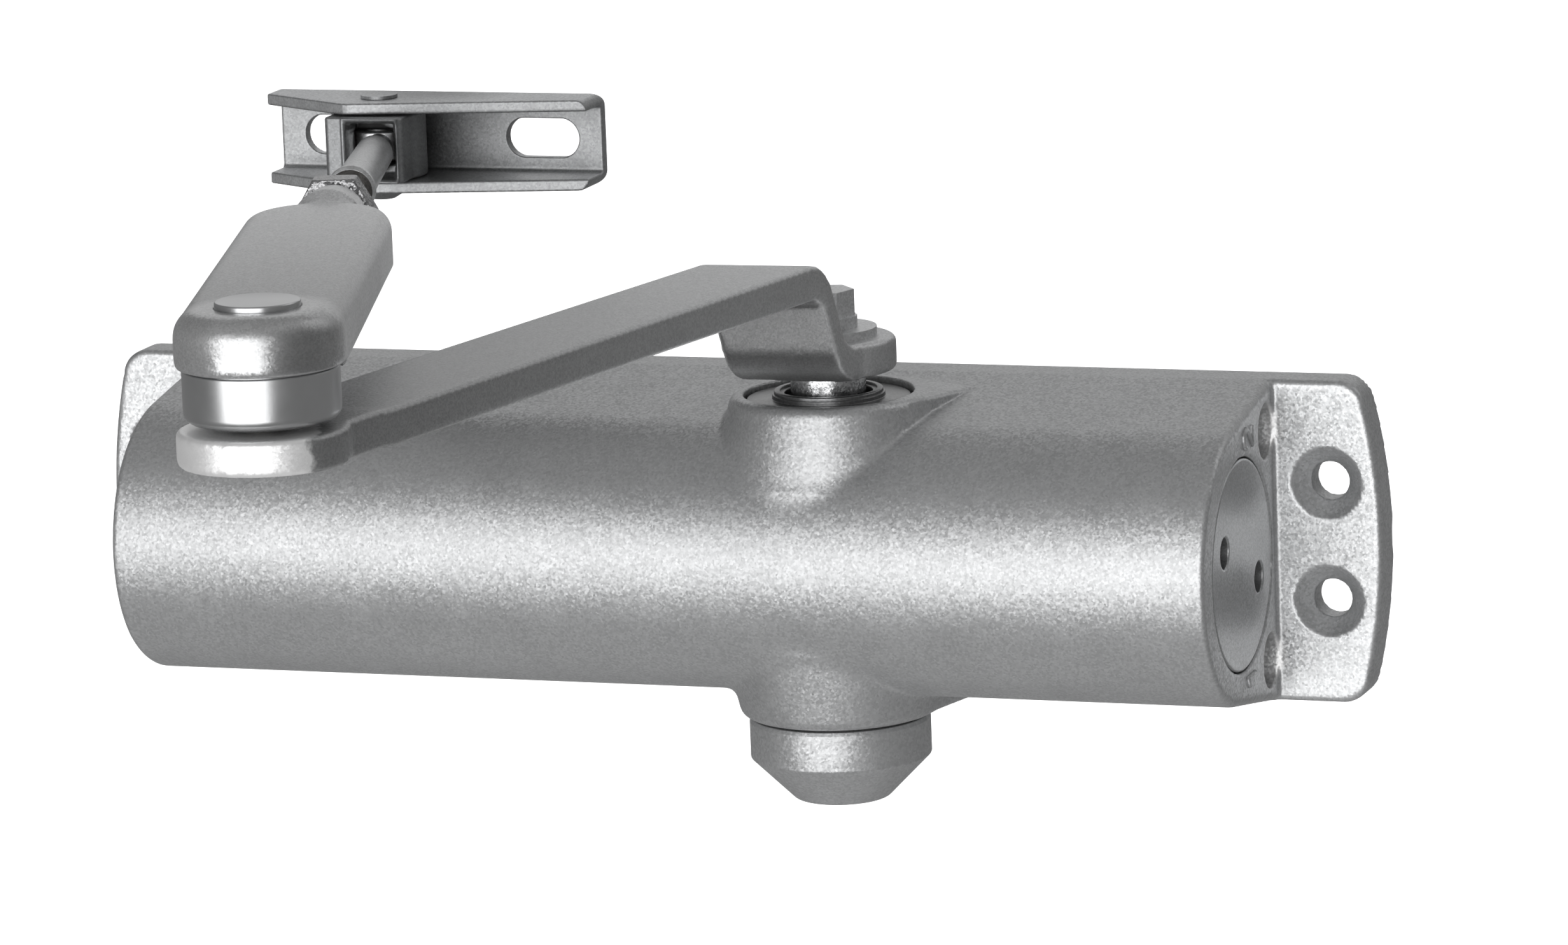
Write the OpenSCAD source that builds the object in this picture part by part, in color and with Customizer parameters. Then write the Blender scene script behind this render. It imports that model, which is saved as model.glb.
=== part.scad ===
// Overhead door closer with a regular arm, in millimetres.
// Origin: centre of the four body screws, on the door face. +X along the body, +Y into the door, +Z up.

/* [Body casting] */
// Length of the body between its two end faces
body_len = 183; // [170:1:220]
// Height of the body's back block
body_h = 52; // [50:0.5:60]
// Distance of the main bore's axis from the door face
bore_y = 26.1; // [25:0.1:30]
// Diameter of the round barrel
barrel_d = 44.7; // [43:0.1:48]
// Depth of the straight back block, behind the flared sides
back_d = 7; // [5:0.5:10]
// Diameter of the main bore
bore_d = 32; // [28:0.5:33]
// Angle of the spanner holes in the end plugs
spanner_tilt = -22; // [-90:1:90]

/* [Mounting lugs] */
// Distance between the screw holes along the body
screw_dx = 200; // [192:1:240]
// Distance between the screw holes across the body
screw_dz = 19; // [16:0.5:24]
// Diameter of the screw holes
screw_hole_d = 6; // [4.5:0.1:6.5]
// Diameter of the countersinks
csk_d = 11.6; // [9:0.1:12]
// Distance from the screw holes to the lug's outermost edge
lug_edge = 8.9; // [8:0.1:12]
// Thickness of the lugs
lug_t = 7.1; // [5:0.1:9]
// Radius of the lugs' bowed outer edge
lug_arc_r = 98; // [60:1:150]
// Radius of the lugs' corners
lug_corner_r = 4.5; // [2:0.5:8]

/* [Spindle boss] */
// Position of the spindle along the body
spindle_x = 24; // [15:0.5:30]
// Radius of the boss at its end face
boss_r = 15.6; // [15:0.1:17]
// Radius of the boss where it has flared out into the barrel
boss_base_r = 18.6; // [17:0.1:19]
// Height of the flared part of the boss
boss_flare_h = 13; // [8:0.5:15]
// Reach of the boss's tail along the body
tail_dx = 20.5; // [19:0.5:26]
// Reach of the boss's tail towards the door
tail_dy = 12.5; // [0:0.5:14]
// Slope of the tail's top
tail_slope = 6; // [0:0.5:10]
// Diameter of the recess in the top of the boss
recess_d = 27.1; // [27:0.1:28]

/* [Pinion and piston] */
// Module of the teeth
tooth_mod = 1.25; // [1.1:0.05:1.3]
// Number of teeth of the pinion
teeth = 14; // [13:1:14]
// Clearance between the flanks of the teeth
backlash = 0.36; // [0.2:0.02:0.6]
// Face width of the pinion's teeth
tooth_face = 18; // [12:0.5:19]
// Diameter of the spindle's journals
journal_d = 12; // [10:0.5:12.5]
// Across flats of the square ends of the spindle
square_af = 9.6; // [7:0.1:9.8]
// Length of the piston
piston_len = 68; // [62:1:68]
// Radial clearance of the piston in its bore
piston_fit = 0.05; // [0.02:0.01:0.1]
// Largest turn of the spindle, in degrees
spindle_turn = 180; // [120:5:180]
// Diameter of the return spring's wire
spring_wire = 3.6; // [2.5:0.1:4]
// Outer diameter of the return spring
spring_od = 29; // [24:0.5:29.5]
// Number of curls of the return spring
spring_curls = 9; // [6:1:10]

/* [Bearings and cap] */
// Diameter of the bearing rollers
roller_d = 3; // [2:0.1:3.5]
// Number of rollers in each bearing
rollers = 12; // [8:1:12]
// Outer diameter of the bearings
bearing_od = 24; // [23:0.1:25]
// Height of the bearings
bearing_h = 6; // [4:0.5:6.5]
// Diameter of the cap under the body
cap_d = 29; // [27:0.5:31]
// Height of the cap's straight rim
cap_rim_h = 6.8; // [5:0.1:9]
// Height of the cap's cone
cap_cone_h = 7; // [4:0.1:9]
// Diameter of the cap's flat end
cap_end_d = 15; // [14.5:0.5:18]

/* [End plugs] */
// Diameter of the end plugs
plug_d = 34; // [33.6:0.1:35]
// Depth of the end plugs in the body
plug_len = 12; // [10:0.5:16]
// Diameter of the spanner holes
spanner_d = 5; // [3:0.5:6]
// Radius of the circle that the spanner holes lie on
spanner_r = 10.15; // [9:0.05:12]

/* [Valves] */
// Distance of the valve screws from the door face
valve_y = 11; // [10.5:0.1:12]
// Height of the valve screws above and below the middle
valve_z = 18.5; // [18:0.1:19.5]
// Diameter of the valve screws' mouths
valve_mouth_d = 9; // [8:0.1:9.4]
// Diameter of the valve screws' shanks
valve_shank_d = 6; // [4:0.1:6.4]
// Length of the valve screws' shanks
valve_shank_len = 14; // [10:0.5:18]
// Diameter of the oil ways
oil_way_d = 3; // [2:0.1:3]

/* [Main arm] */
// Distance from the spindle to the elbow
main_arm_len = 158.95; // [120:0.5:220]
// Turn of the bend lines from the body's length, in degrees
bend_turn = 3; // [0:0.5:8]
// Slant of the arm across its bend lines, in degrees
arm_skew = 13.4; // [0:0.1:20]
// Width of the arm at the crank
arm_w = 18.6; // [16:0.1:22]
// Width of the arm at the elbow
arm_w_end = 19.8; // [16:0.1:24]
// Thickness of the arm
arm_t = 5.6; // [4:0.1:7]
// Gap between the boss and the arm's foot
foot_gap = 3.4; // [2:0.1:6]
// Radius of the arm's foot around the spindle
foot_r = 11; // [10:0.1:13]
// Height from the foot's underside to the top of the long stretch
crank_h = 19.6; // [18:0.1:26]
// Inner radius of the crank's bends
bend_r = 1.4; // [1:0.1:3]
// Distance from the spindle to the start of the lower bend
foot_len = 8.5; // [8.4:0.1:12]
// Radius of the arm's end pad
pad_r = 12.5; // [11:0.1:14]
// Height that the end pad stands above the long stretch
joggle_h = 0.3; // [0:0.1:2]

/* [Arm fastener] */
// Diameter of the flat washer
washer_d = 16; // [14:0.1:16.6]
// Thickness of the flat washer
washer_t = 1.4; // [1:0.1:2]
// Thickness of the spring washer
spring_washer_t = 1.8; // [1:0.1:2.2]
// Diameter of the arm screw
arm_screw_d = 5; // [4:0.5:6]
// Across flats of the arm screw's head
arm_screw_af = 8; // [8:0.5:11]
// Height of the arm screw's head
arm_screw_head = 4.2; // [3:0.1:5]

/* [Elbow] */
// Diameter of the ball
ball_d = 10; // [9:0.1:10.5]
// Outer diameter of the seat around the ball
seat_d = 13.2; // [12.6:0.1:14]
// Diameter of the ball stud's neck
stud_d = 7; // [5:0.1:7]
// Gap between the end pad and the lower cup
elbow_gap = 1; // [1:0.1:3]
// Diameter of the lower cup
lower_cup_d = 22.6; // [20:0.1:24]
// Height of the lower cup
lower_cup_h = 8.1; // [7.4:0.1:9]
// Radius of the lower cup's bottom edge
lower_cup_r = 1.6; // [1.2:0.1:3]
// Diameter of the forearm's cup
upper_cup_d = 24; // [22:0.1:26]
// Height of the forearm's cup
upper_cup_h = 8; // [8:0.1:9]
// Radius of the forearm cup's shoulder
upper_cup_r = 4.5; // [2:0.1:5]
// Diameter of the elbow plug's seat
elbow_plug_d = 12.4; // [11:0.1:13]

/* [Forearm and rod] */
// Length from the elbow to the shoe's pin at rest
forearm_reach = 176.4; // [170:0.5:200]
// Turn of the forearm from the door's normal, in degrees
forearm_turn = 16.1; // [0:0.1:30]
// Width of the forearm
forearm_w = 24; // [20:0.5:28]
// Thickness of the forearm
forearm_t = 9.4; // [8.4:0.1:10.4]
// Distance from the elbow to the centre of the forearm's round end
forearm_len = 83; // [70:0.5:90]
// Diameter of the forearm's socket
socket_d = 11.6; // [10:0.1:14]
// Distance from the elbow to the mouth of the socket
socket_end = 103; // [95:0.5:106]
// Diameter of the rod's thread
thread_d = 7; // [5:0.5:7]
// Across flats of the lock nut
nut_af = 11.3; // [10:0.1:14]
// Thickness of the lock nut
nut_t = 5; // [3:0.1:7]
// Diameter of the rod's collar
collar_d = 7.8; // [7.6:0.1:9]
// Length of thread that shows beyond the nut
thread_free = 20; // [18:0.5:26]
// Diameter of the rod's neck in the swivel block
neck_d = 4.4; // [4:0.1:5]
// Free travel of the rod out of the socket
rod_out = 15; // [5:1:20]

/* [Shoe] */
// Length of the shoe
shoe_len = 56.2; // [54:0.2:70]
// Height of the shoe
shoe_h = 15; // [14:0.1:18]
// Sheet thickness of the shoe
shoe_t = 2; // [1.5:0.1:2.2]
// Depth of the shoe's flanges at the left end
shoe_left_d = 7.4; // [6:0.1:12]
// Depth of the shoe's flanges at their front corner
shoe_mid_d = 16.7; // [16:0.1:22]
// Depth of the shoe's flanges at the right end
shoe_right_d = 9; // [6:0.1:12]
// Distance from the shoe's left end to its front corner
shoe_corner = 16.8; // [14:0.1:22]
// Distance from the shoe's left end to its pin
pin_from_end = 20.6; // [19:0.1:24]
// Distance of the pin from the frame face
pin_depth = 9.7; // [9.7:0.1:12]
// Width of the slots
slot_w = 6.4; // [5:0.1:7]
// Length of the slots, end to end
slot_len = 12.5; // [8:0.1:13]
// Distance between the centres of the slots
slot_dx = 35.2; // [34:0.1:40]
// Diameter of the shoe's pin
pin_d = 5; // [4:0.1:5]

/* [Hidden] */
$fn = 64;
e = 0.01;
gap = 0.3;
press = 0.02;
run_fit = 0.03;

half_len = body_len/2;
half_h = body_h/2;
barrel_r = barrel_d/2;
bore_r = bore_d/2;
lug_out = screw_dx/2 + lug_edge;
csk_angle_depth = (csk_d - screw_hole_d)/2;

pitch_r = tooth_mod*teeth/2;
tip_r = pitch_r + tooth_mod;
root_r = pitch_r - 1.3;
tooth_p = PI*tooth_mod;
pressure = 20;
rack_add = 0.8*tooth_mod;
rack_ded = tooth_mod + 0.3;
stroke = pitch_r*PI*spindle_turn/180;
end_land = 10;
rack_x0 = spindle_x - tip_r - 1;
piston_x0 = rack_x0 - end_land;
piston_x1 = piston_x0 + piston_len;
piston_r = bore_r - piston_fit;
pocket_d = 8;
pocket_len = 8;
window_len = stroke + 2*tip_r + 2;
window_back = tip_r + 1;

bearing_z = bore_r + 0.3;
bearing_top = bearing_z + bearing_h;
step_bore_d = 2*tip_r + 1.5;
roller_r = journal_d/2 + run_fit + roller_d/2;
race_r = roller_r + roller_d/2 + run_fit;

retainer_top = half_h - 0.5;
retainer_d = recess_d - 0.7;
ring_d = 17.7;
ring_top = half_h + 0.4;
ring_hole_d = journal_d + 2;
seal_d = journal_d + 4;
seal_z = bearing_top + 0.4;
seal_h = retainer_top - 0.9 - seal_z;

foot_z = half_h + foot_gap;
foot_top = foot_z + arm_t;
stub_len = 5.2;
arm_screw_hold = 13;
cap_bore_d = 14.2;
spigot_len = half_h - bearing_top - 0.3;

spring_boss_h = 3;
groove_w = 2.6;
groove_d = 2;
ring_sec = 1.8;

valve_seat_x = half_len - 10;
valve_head_h = 4;
valve_tip_len = 5;
valve_groove = 1;
oil_way_len = 40;

mid_low = foot_z + arm_t/2;
mid_top = foot_z + crank_h - arm_t/2;
neutral_r = bend_r + arm_t/2;
skew = tan(arm_skew);
arm_turn = arm_skew - bend_turn;
bend_start = foot_len;
rise = mid_top - mid_low - 2*neutral_r;
bend_arc = PI*neutral_r/2;
run_start = bend_start + 2*neutral_r;
path_run = bend_start + rise + 2*bend_arc;
lag = path_run - run_start;
elbow_p = (sqrt(pow(main_arm_len, 2)*(1 + skew*skew) - pow(lag*skew, 2)) - lag*skew*skew)/(1 + skew*skew);
elbow_b = -(elbow_p + lag)*skew;
elbow_x = spindle_x + elbow_b*cos(bend_turn) + elbow_p*sin(bend_turn);
elbow_y = -bore_y + elbow_b*sin(bend_turn) - elbow_p*cos(bend_turn);
pad_z = foot_z + crank_h + joggle_h - 5.2;
pad_top = foot_z + crank_h + joggle_h;

cup_z = pad_top + elbow_gap;
seam_z = cup_z + lower_cup_h;
cup_top = seam_z + upper_cup_h;
ball_z = seam_z + 1;
seam_gap = 0.1;
forearm_top = seam_z + 8;
forearm_z = forearm_top - forearm_t;
rod_z = forearm_top - 4;
forearm_dir = 90 + forearm_turn;

pin_x = elbow_x + forearm_reach*cos(forearm_dir);
pin_y = elbow_y + forearm_reach*sin(forearm_dir);
shoe_back = pin_y + pin_depth;
shoe_x0 = pin_x - pin_from_end;
shoe_z0 = rod_z - shoe_h/2;
block_r = pin_depth - shoe_t - gap;
block_h = shoe_h - 2*shoe_t - 0.5;
block_half_w = block_r - 0.7;
block_front = block_r + 0.6;
block_rim = 0.8;
neck_swing = 19;
eye_d = 9.2;
eye_h = neck_d + 0.4;
eye_room_d = eye_d + 0.8;
nut_x = socket_end + gap;
thread_end = nut_x + nut_t + thread_free;
taper_end = forearm_reach - block_r - 1;
thread_hold = 16;
collar_t = 1.6;
thread_start = socket_end - rod_out - thread_hold;
socket_spare = 6;
hub_start = forearm_len + forearm_w/2 - 2.5;
plug_rise = 1.1;
plug_sunk = 1.5;

// Places
module along_x(x = 0) { translate([x, -bore_y, 0]) rotate([0, 90, 0]) children(); }
module at_spindle(z = 0) { translate([spindle_x, -bore_y, z]) children(); }
module at_elbow(z = 0) { translate([elbow_x, elbow_y, z]) children(); }
module along_forearm(x = 0) {
    translate([elbow_x, elbow_y, rod_z]) rotate([0, 0, forearm_dir]) translate([x, 0, 0])
        rotate([0, 90, 0]) children();
}
module at_pin(z = 0) { translate([pin_x, pin_y, z]) children(); }
module both_ends() {
    children();
    mirror([1, 0, 0]) children();
}
module both_sides() {
    children();
    mirror([0, 0, 1]) children();
}

module ring(r_out, r_in, h) {
    difference() {
        cylinder(r = r_out, h = h);
        translate([0, 0, -e]) cylinder(r = r_in, h = h + 2*e);
    }
}

module o_ring(r_mid, section) {
    rotate_extrude() translate([r_mid, 0]) circle(d = section, $fn = 24);
}

// Round cup with a straight side and a rounded top edge
module cup(d, h, r) {
    rotate_extrude() union() {
        square([d/2 - r, h]);
        square([d/2, h - r]);
        translate([d/2 - r, h - r]) intersection() {
            circle(r = r);
            square(r);
        }
    }
}

module hex_prism(af, h) {
    cylinder(d = af/cos(30), h = h, $fn = 6);
}

// Point on a circle of radius r around the boss where the tangent from the tail's tip touches
tail_d = norm([tail_dx, tail_dy]);
tail_a = atan2(tail_dy, tail_dx);
touch_a = acos(boss_r/tail_d);
function touch(side) = boss_r*[cos(tail_a + side*touch_a), sin(tail_a + side*touch_a)];

// Body casting
module body_section() {
    flare_d = norm([bore_y - back_d, half_h]);
    flare_a = atan2(half_h, bore_y - back_d) + acos(barrel_r/flare_d);
    tangent = [-bore_y + barrel_r*cos(flare_a), barrel_r*sin(flare_a)];
    translate([-bore_y, 0]) circle(r = barrel_r, $fn = 128);
    polygon([[0, half_h], [-back_d, half_h], tangent, [-bore_y, 0],
        [tangent[0], -tangent[1]], [-back_d, -half_h], [0, -half_h]]);
}

module lug_outline() {
    arc_x = lug_out - lug_arc_r;
    corner_z = half_h - lug_corner_r;
    corner_x = arc_x + sqrt(pow(lug_arc_r - lug_corner_r, 2) - corner_z*corner_z);
    far = 1.05*lug_arc_r*[corner_x - arc_x, corner_z]/(lug_arc_r - lug_corner_r) + [arc_x, 0];
    inner = half_len - 5;
    intersection() {
        translate([arc_x, 0]) circle(r = lug_arc_r, $fn = 256);
        polygon([[inner, -corner_z], [corner_x, -corner_z], [far[0], -far[1]], far,
            [corner_x, corner_z], [inner, corner_z]]);
    }
    translate([inner, -half_h]) square([corner_x - inner, body_h]);
    for (s = [-1, 1]) translate([corner_x, s*corner_z]) circle(r = lug_corner_r);
}

module boss_side() {
    hinge_dx = 0.64*boss_r;
    front = touch(-1);
    back = touch(1);
    tip = [tail_dx, tail_dy];
    back_cut = tip + (back - tip)*(tail_dx - hinge_dx)/(tail_dx - back[0]);
    cylinder(r = boss_base_r, h = half_h - boss_flare_h);
    translate([0, 0, half_h - boss_flare_h]) cylinder(r1 = boss_base_r, r2 = boss_r, h = boss_flare_h);
    translate([hinge_dx, 0, half_h]) rotate([0, tail_slope, 0]) translate([-hinge_dx, 0, -half_h])
        linear_extrude(half_h) polygon([[hinge_dx, 0], [hinge_dx, front[1]], front, tip, back_cut]);
}

module valve_bore() {
    for (s = [-1, 1]) translate([0, -valve_y, s*valve_z]) rotate([0, 90, 0]) {
        translate([0, 0, valve_seat_x]) cylinder(d = valve_mouth_d, h = half_len - valve_seat_x);
        translate([0, 0, valve_seat_x - valve_shank_len - gap])
            cylinder(d = valve_shank_d, h = valve_shank_len + gap + e);
        translate([0, 0, valve_seat_x - valve_shank_len - oil_way_len])
            cylinder(d = oil_way_d, h = oil_way_len + 2);
    }
    for (s = [-1, 1], x = [half_len - plug_len - 5, valve_seat_x - valve_shank_len - oil_way_len + 4])
        translate([x, -bore_y, 0]) rotate([-s*atan2(bore_y - valve_y, valve_z), 0, 0])
            mirror([0, 0, s < 0 ? 1 : 0]) translate([0, 0, bore_r - 1])
                cylinder(d = oil_way_d, h = norm([bore_y - valve_y, valve_z]) - bore_r + 1);
}

module body_casting() {
    color("silver") difference() {
        union() {
            translate([-half_len, 0, 0]) rotate([90, 0, 90]) linear_extrude(body_len) body_section();
            both_ends() rotate([90, 0, 0]) linear_extrude(lug_t) lug_outline();
            at_spindle() both_sides() boss_side();
        }
        along_x(-half_len - 1) cylinder(d = bore_d, h = body_len + 2);
        both_ends() along_x(half_len - plug_len) cylinder(d = plug_d, h = plug_len + 1);
        at_spindle(-bearing_top - 10) cylinder(d = step_bore_d, h = 2*bearing_top + 20);
        at_spindle() both_sides() translate([0, 0, bearing_z]) cylinder(d = bearing_od, h = 30);
        at_spindle(bearing_top) cylinder(d = recess_d, h = 30);
        both_ends() for (s = [-1, 1]) translate([screw_dx/2, 0, s*screw_dz/2]) rotate([90, 0, 0]) {
            translate([0, 0, -1]) cylinder(d = screw_hole_d, h = lug_t + 2);
            translate([0, 0, lug_t - csk_angle_depth])
                cylinder(d1 = screw_hole_d, d2 = csk_d + 2*e, h = csk_angle_depth + e);
            translate([0, 0, lug_t]) cylinder(d = csk_d, h = 6);
        }
        valve_bore();
    }
}

// End plugs, with two spanner holes and a groove for the seal ring
module end_plug() {
    r = plug_d/2 - press;
    along_x(half_len - plug_len) difference() {
        cylinder(r = r, h = plug_len - 0.4);
        translate([0, 0, 3]) ring(r + 1, r - groove_d, groove_w);
        for (a = [0, 180]) rotate([0, 0, 90 + spanner_tilt + a]) translate([spanner_r, 0, plug_len - 4.4])
            cylinder(d = spanner_d, h = 10);
    }
}
module end_plug_right() { color("gainsboro") end_plug(); }
module end_plug_left() {
    color("gainsboro") mirror([1, 0, 0]) {
        end_plug();
        along_x(half_len - plug_len - spring_boss_h)
            cylinder(r = spring_od/2 - spring_wire - 1, h = spring_boss_h + 1);
    }
}
module end_plug_seals() {
    color("dimgray") both_ends() along_x(half_len - plug_len + 3 + groove_w/2)
        o_ring(plug_d/2 - press - groove_d/2, ring_sec);
}

// Cap that closes the lower bearing, with room for the spindle's square stub
module lower_cap() {
    color("silver") at_spindle() difference() {
        union() {
            translate([0, 0, -half_h]) cylinder(d = bearing_od - 2*press, h = spigot_len);
            translate([0, 0, -half_h - cap_rim_h]) cylinder(d = cap_d, h = cap_rim_h);
            translate([0, 0, -half_h - cap_rim_h - cap_cone_h])
                cylinder(d1 = cap_end_d, d2 = cap_d, h = cap_cone_h);
        }
        translate([0, 0, -half_h - cap_rim_h]) cylinder(d = cap_bore_d, h = 30);
    }
}

// Ring nut that holds the upper bearing, with a raised ring around the spindle
module bearing_retainer() {
    color("gray") at_spindle() difference() {
        union() {
            translate([0, 0, bearing_top + 0.1]) cylinder(d = retainer_d, h = retainer_top - bearing_top - 0.1);
            cylinder_up(retainer_top - e, ring_d, ring_top - retainer_top + e);
        }
        cylinder_up(bearing_top, seal_d, seal_z + seal_h - bearing_top);
        cylinder_up(bearing_top, ring_hole_d, 20);
    }
}
module cylinder_up(z, d, h) { translate([0, 0, z]) cylinder(d = d, h = h); }

module spindle_seal() {
    color("black") at_spindle(seal_z) ring(seal_d/2 - press, journal_d/2 + run_fit, seal_h);
}

// Needle bearings in both bosses
module bearing_race() { ring(bearing_od/2 - press, race_r, bearing_h); }
module bearing_rollers() {
    for (i = [0:rollers - 1]) rotate([0, 0, 360/rollers*i]) translate([roller_r, 0, 0.3])
        cylinder(d = roller_d, h = bearing_h - 0.6, $fn = 24);
}
module upper_bearing_race() { color("lightgray") at_spindle(bearing_z) bearing_race(); }
module upper_bearing_rollers() { color("white") at_spindle(bearing_z) bearing_rollers(); }
module lower_bearing_race() { color("lightgray") at_spindle(-bearing_top) bearing_race(); }
module lower_bearing_rollers() { color("white") at_spindle(-bearing_top) bearing_rollers(); }

// Involute teeth: a point at radius r on a flank, at its angle from the tooth's middle
base_r = pitch_r*cos(pressure);
function inv(a) = tan(a)*180/PI - a;
function half_tooth_a(r) = let(a = acos(min(1, base_r/r)))
    90/teeth - backlash/4/pitch_r*180/PI + inv(pressure) - inv(a);
tooth_steps = 5;
function flank(side, k) = let(r = base_r + (tip_r - base_r)*k/tooth_steps)
    [r*cos(side*half_tooth_a(r)), r*sin(side*half_tooth_a(r))];
module tooth() {
    polygon(concat([[root_r*0.8, -1]],
        [root_r*[cos(-half_tooth_a(base_r)), sin(-half_tooth_a(base_r))]],
        [for (k = [0:tooth_steps]) flank(-1, k)],
        [for (k = [tooth_steps:-1:0]) flank(1, k)],
        [root_r*[cos(half_tooth_a(base_r)), sin(half_tooth_a(base_r))]],
        [[root_r*0.8, 1]]));
}

module pinion() {
    color("lightslategray") at_spindle() difference() {
        union() {
            translate([0, 0, -tooth_face/2]) linear_extrude(tooth_face) {
                circle(r = root_r);
                for (i = [0:teeth - 1]) rotate(-90 + 360/teeth*(i + 0.5)) tooth();
            }
            translate([0, 0, -half_h + 1]) cylinder(d = journal_d, h = foot_z + half_h - 1);
            rotate([0, 0, -arm_turn]) {
                translate([-square_af/2, -square_af/2, foot_z - e]) cube([square_af, square_af, arm_t - 0.5]);
                translate([-square_af/2, -square_af/2, -half_h + 1 - stub_len])
                    cube([square_af, square_af, stub_len + e]);
            }
        }
        cylinder_up(foot_top - arm_screw_hold - 1, arm_screw_d, arm_screw_hold + 2);
    }
}

// Piston: a plunger with a window for the pinion and a rack on the window's front side
module rack_tooth(x) {
    half_p = tooth_p/4 - backlash/4;
    slope = tan(pressure);
    translate([x, -bore_y - pitch_r]) polygon([
        [-half_p - slope*rack_ded - 0.05, -rack_ded - 0.1], [-half_p + slope*rack_add, rack_add],
        [half_p - slope*rack_add, rack_add], [half_p + slope*rack_ded + 0.05, -rack_ded - 0.1]]);
}
rack_first = -floor((spindle_x - rack_x0 - 1.6)/tooth_p);
rack_last = floor((rack_x0 + window_len - spindle_x - 1.6)/tooth_p);
module piston() {
    color("darkgray") difference() {
        union() {
            difference() {
                along_x(piston_x0) cylinder(r = piston_r, h = piston_len);
                translate([rack_x0, -bore_y - pitch_r - rack_ded, -bore_r])
                    cube([window_len, window_back + pitch_r + rack_ded, bore_d]);
            }
            translate([0, 0, -tooth_face/2 + 1]) linear_extrude(tooth_face - 2)
                for (k = [rack_first:rack_last]) rack_tooth(spindle_x + k*tooth_p);
        }
        along_x(piston_x1 - pocket_len) cylinder(d = pocket_d, h = pocket_len + 1);
        along_x(rack_x0 + window_len - 1) cylinder(d = oil_way_d, h = piston_x1 - rack_x0 - window_len);
    }
}
module check_valve_seat() {
    color("goldenrod") along_x(piston_x1 - 3) ring(pocket_d/2 - press, 1.6, 2.6);
}
module check_ball() {
    color("white") along_x(piston_x1 - 5.6) sphere(d = 4.8, $fn = 32);
}

// Return spring: one unbroken helix with a flat first and last curl
spring_x0 = -half_len + plug_len + 0.3 + spring_wire/2;
spring_x1 = piston_x0 - 0.3 - spring_wire/2;
spring_r = (spring_od - spring_wire)/2;
spring_rings = 8;
spring_sides = 6;
spring_steps = spring_rings*spring_curls;
spring_flat = 0.8;
spring_creep = 0.08;
function spring_at(i) = let(t = i/spring_steps, lead = spring_flat/spring_curls,
        s = min(1, max(0, (t - lead)/(1 - 2*lead))))
    spring_x0 + (spring_x1 - spring_x0)*(spring_creep*t + (1 - spring_creep)*s);
function spring_mid(i) = [spring_at(i), -bore_y + spring_r*cos(360*i/spring_rings),
    spring_r*sin(360*i/spring_rings)];
function spring_ring(i) = [for (j = [0:spring_sides - 1]) let(a = 360*i/spring_rings,
        b = 360*j/spring_sides, m = spring_mid(i), w = spring_wire/2)
    m + w*(cos(b)*[0, cos(a), sin(a)] + sin(b)*[1, 0, 0])];
function tube_faces(rings, sides) = concat(
    [[for (j = [0:sides - 1]) j]],
    [for (i = [0:rings - 1], j = [0:sides - 1]) each [
        [i*sides + j, (i + 1)*sides + j, (i + 1)*sides + (j + 1)%sides],
        [i*sides + j, (i + 1)*sides + (j + 1)%sides, i*sides + (j + 1)%sides]]],
    [[for (j = [sides - 1:-1:0]) rings*sides + j]]);
module return_spring() {
    color("slategray") polyhedron(
        points = [for (i = [0:spring_steps]) each spring_ring(i)],
        faces = tube_faces(spring_steps, spring_sides));
}

// Speed valves: screws with a slotted head, a groove for the seal ring and a needle tip
module valve_screw(s) {
    translate([valve_seat_x, -valve_y, s*valve_z]) rotate([0, 90, 0]) difference() {
        union() {
            translate([0, 0, gap]) cylinder(d = valve_mouth_d - 0.6, h = valve_head_h);
            translate([0, 0, -valve_shank_len]) cylinder(d = valve_shank_d - 0.1, h = valve_shank_len + gap + e);
            translate([0, 0, -valve_shank_len - valve_tip_len])
                cylinder(d1 = 1, d2 = oil_way_d - 0.6, h = valve_tip_len + e);
        }
        translate([0, 0, -6]) ring(valve_shank_d, valve_shank_d/2 - 0.05 - valve_groove, 1.4);
        translate([-5, -0.6, gap + valve_head_h - 1.6]) cube([10, 1.2, 4]);
    }
}
module valve_screw_1() { color("lightgray") valve_screw(-1); }
module valve_screw_2() { color("lightgray") valve_screw(1); }
module valve_seals() {
    color("dimgray") for (s = [-1, 1]) translate([valve_seat_x - 5.3, -valve_y, s*valve_z]) rotate([0, 90, 0])
        o_ring(valve_shank_d/2 - 0.05 - valve_groove/2 + 0.03, 0.86);
}

// Main arm: a flat bar bent twice across its width, swept along its middle line
arc_steps = 12;
edge_cut = 0.5;
joggle_p = elbow_p - 13;
// Stations hold [forward, up, tangent angle, length along the bar]
stations = concat(
    [[-2, mid_low, 0, -2]],
    [for (k = [0:arc_steps]) let(a = 90*k/arc_steps)
        [bend_start + neutral_r*sin(a), mid_low + neutral_r*(1 - cos(a)), a, bend_start + bend_arc*k/arc_steps]],
    [for (k = [0:arc_steps]) let(a = 90*k/arc_steps)
        [bend_start + neutral_r + neutral_r*(1 - cos(a)), mid_low + neutral_r + rise + neutral_r*sin(a), 90 - a,
            bend_start + bend_arc + rise + bend_arc*k/arc_steps]],
    [[joggle_p - 4, mid_top, 0, joggle_p - 4 + lag],
        [joggle_p, mid_top + joggle_h, 0, joggle_p + lag],
        [elbow_p - 2, mid_top + joggle_h, 0, elbow_p - 2 + lag]]);
function bar_half(s) = (arm_w + (arm_w_end - arm_w)*max(0, s)/(elbow_p + lag))/2/cos(arm_skew);
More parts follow.
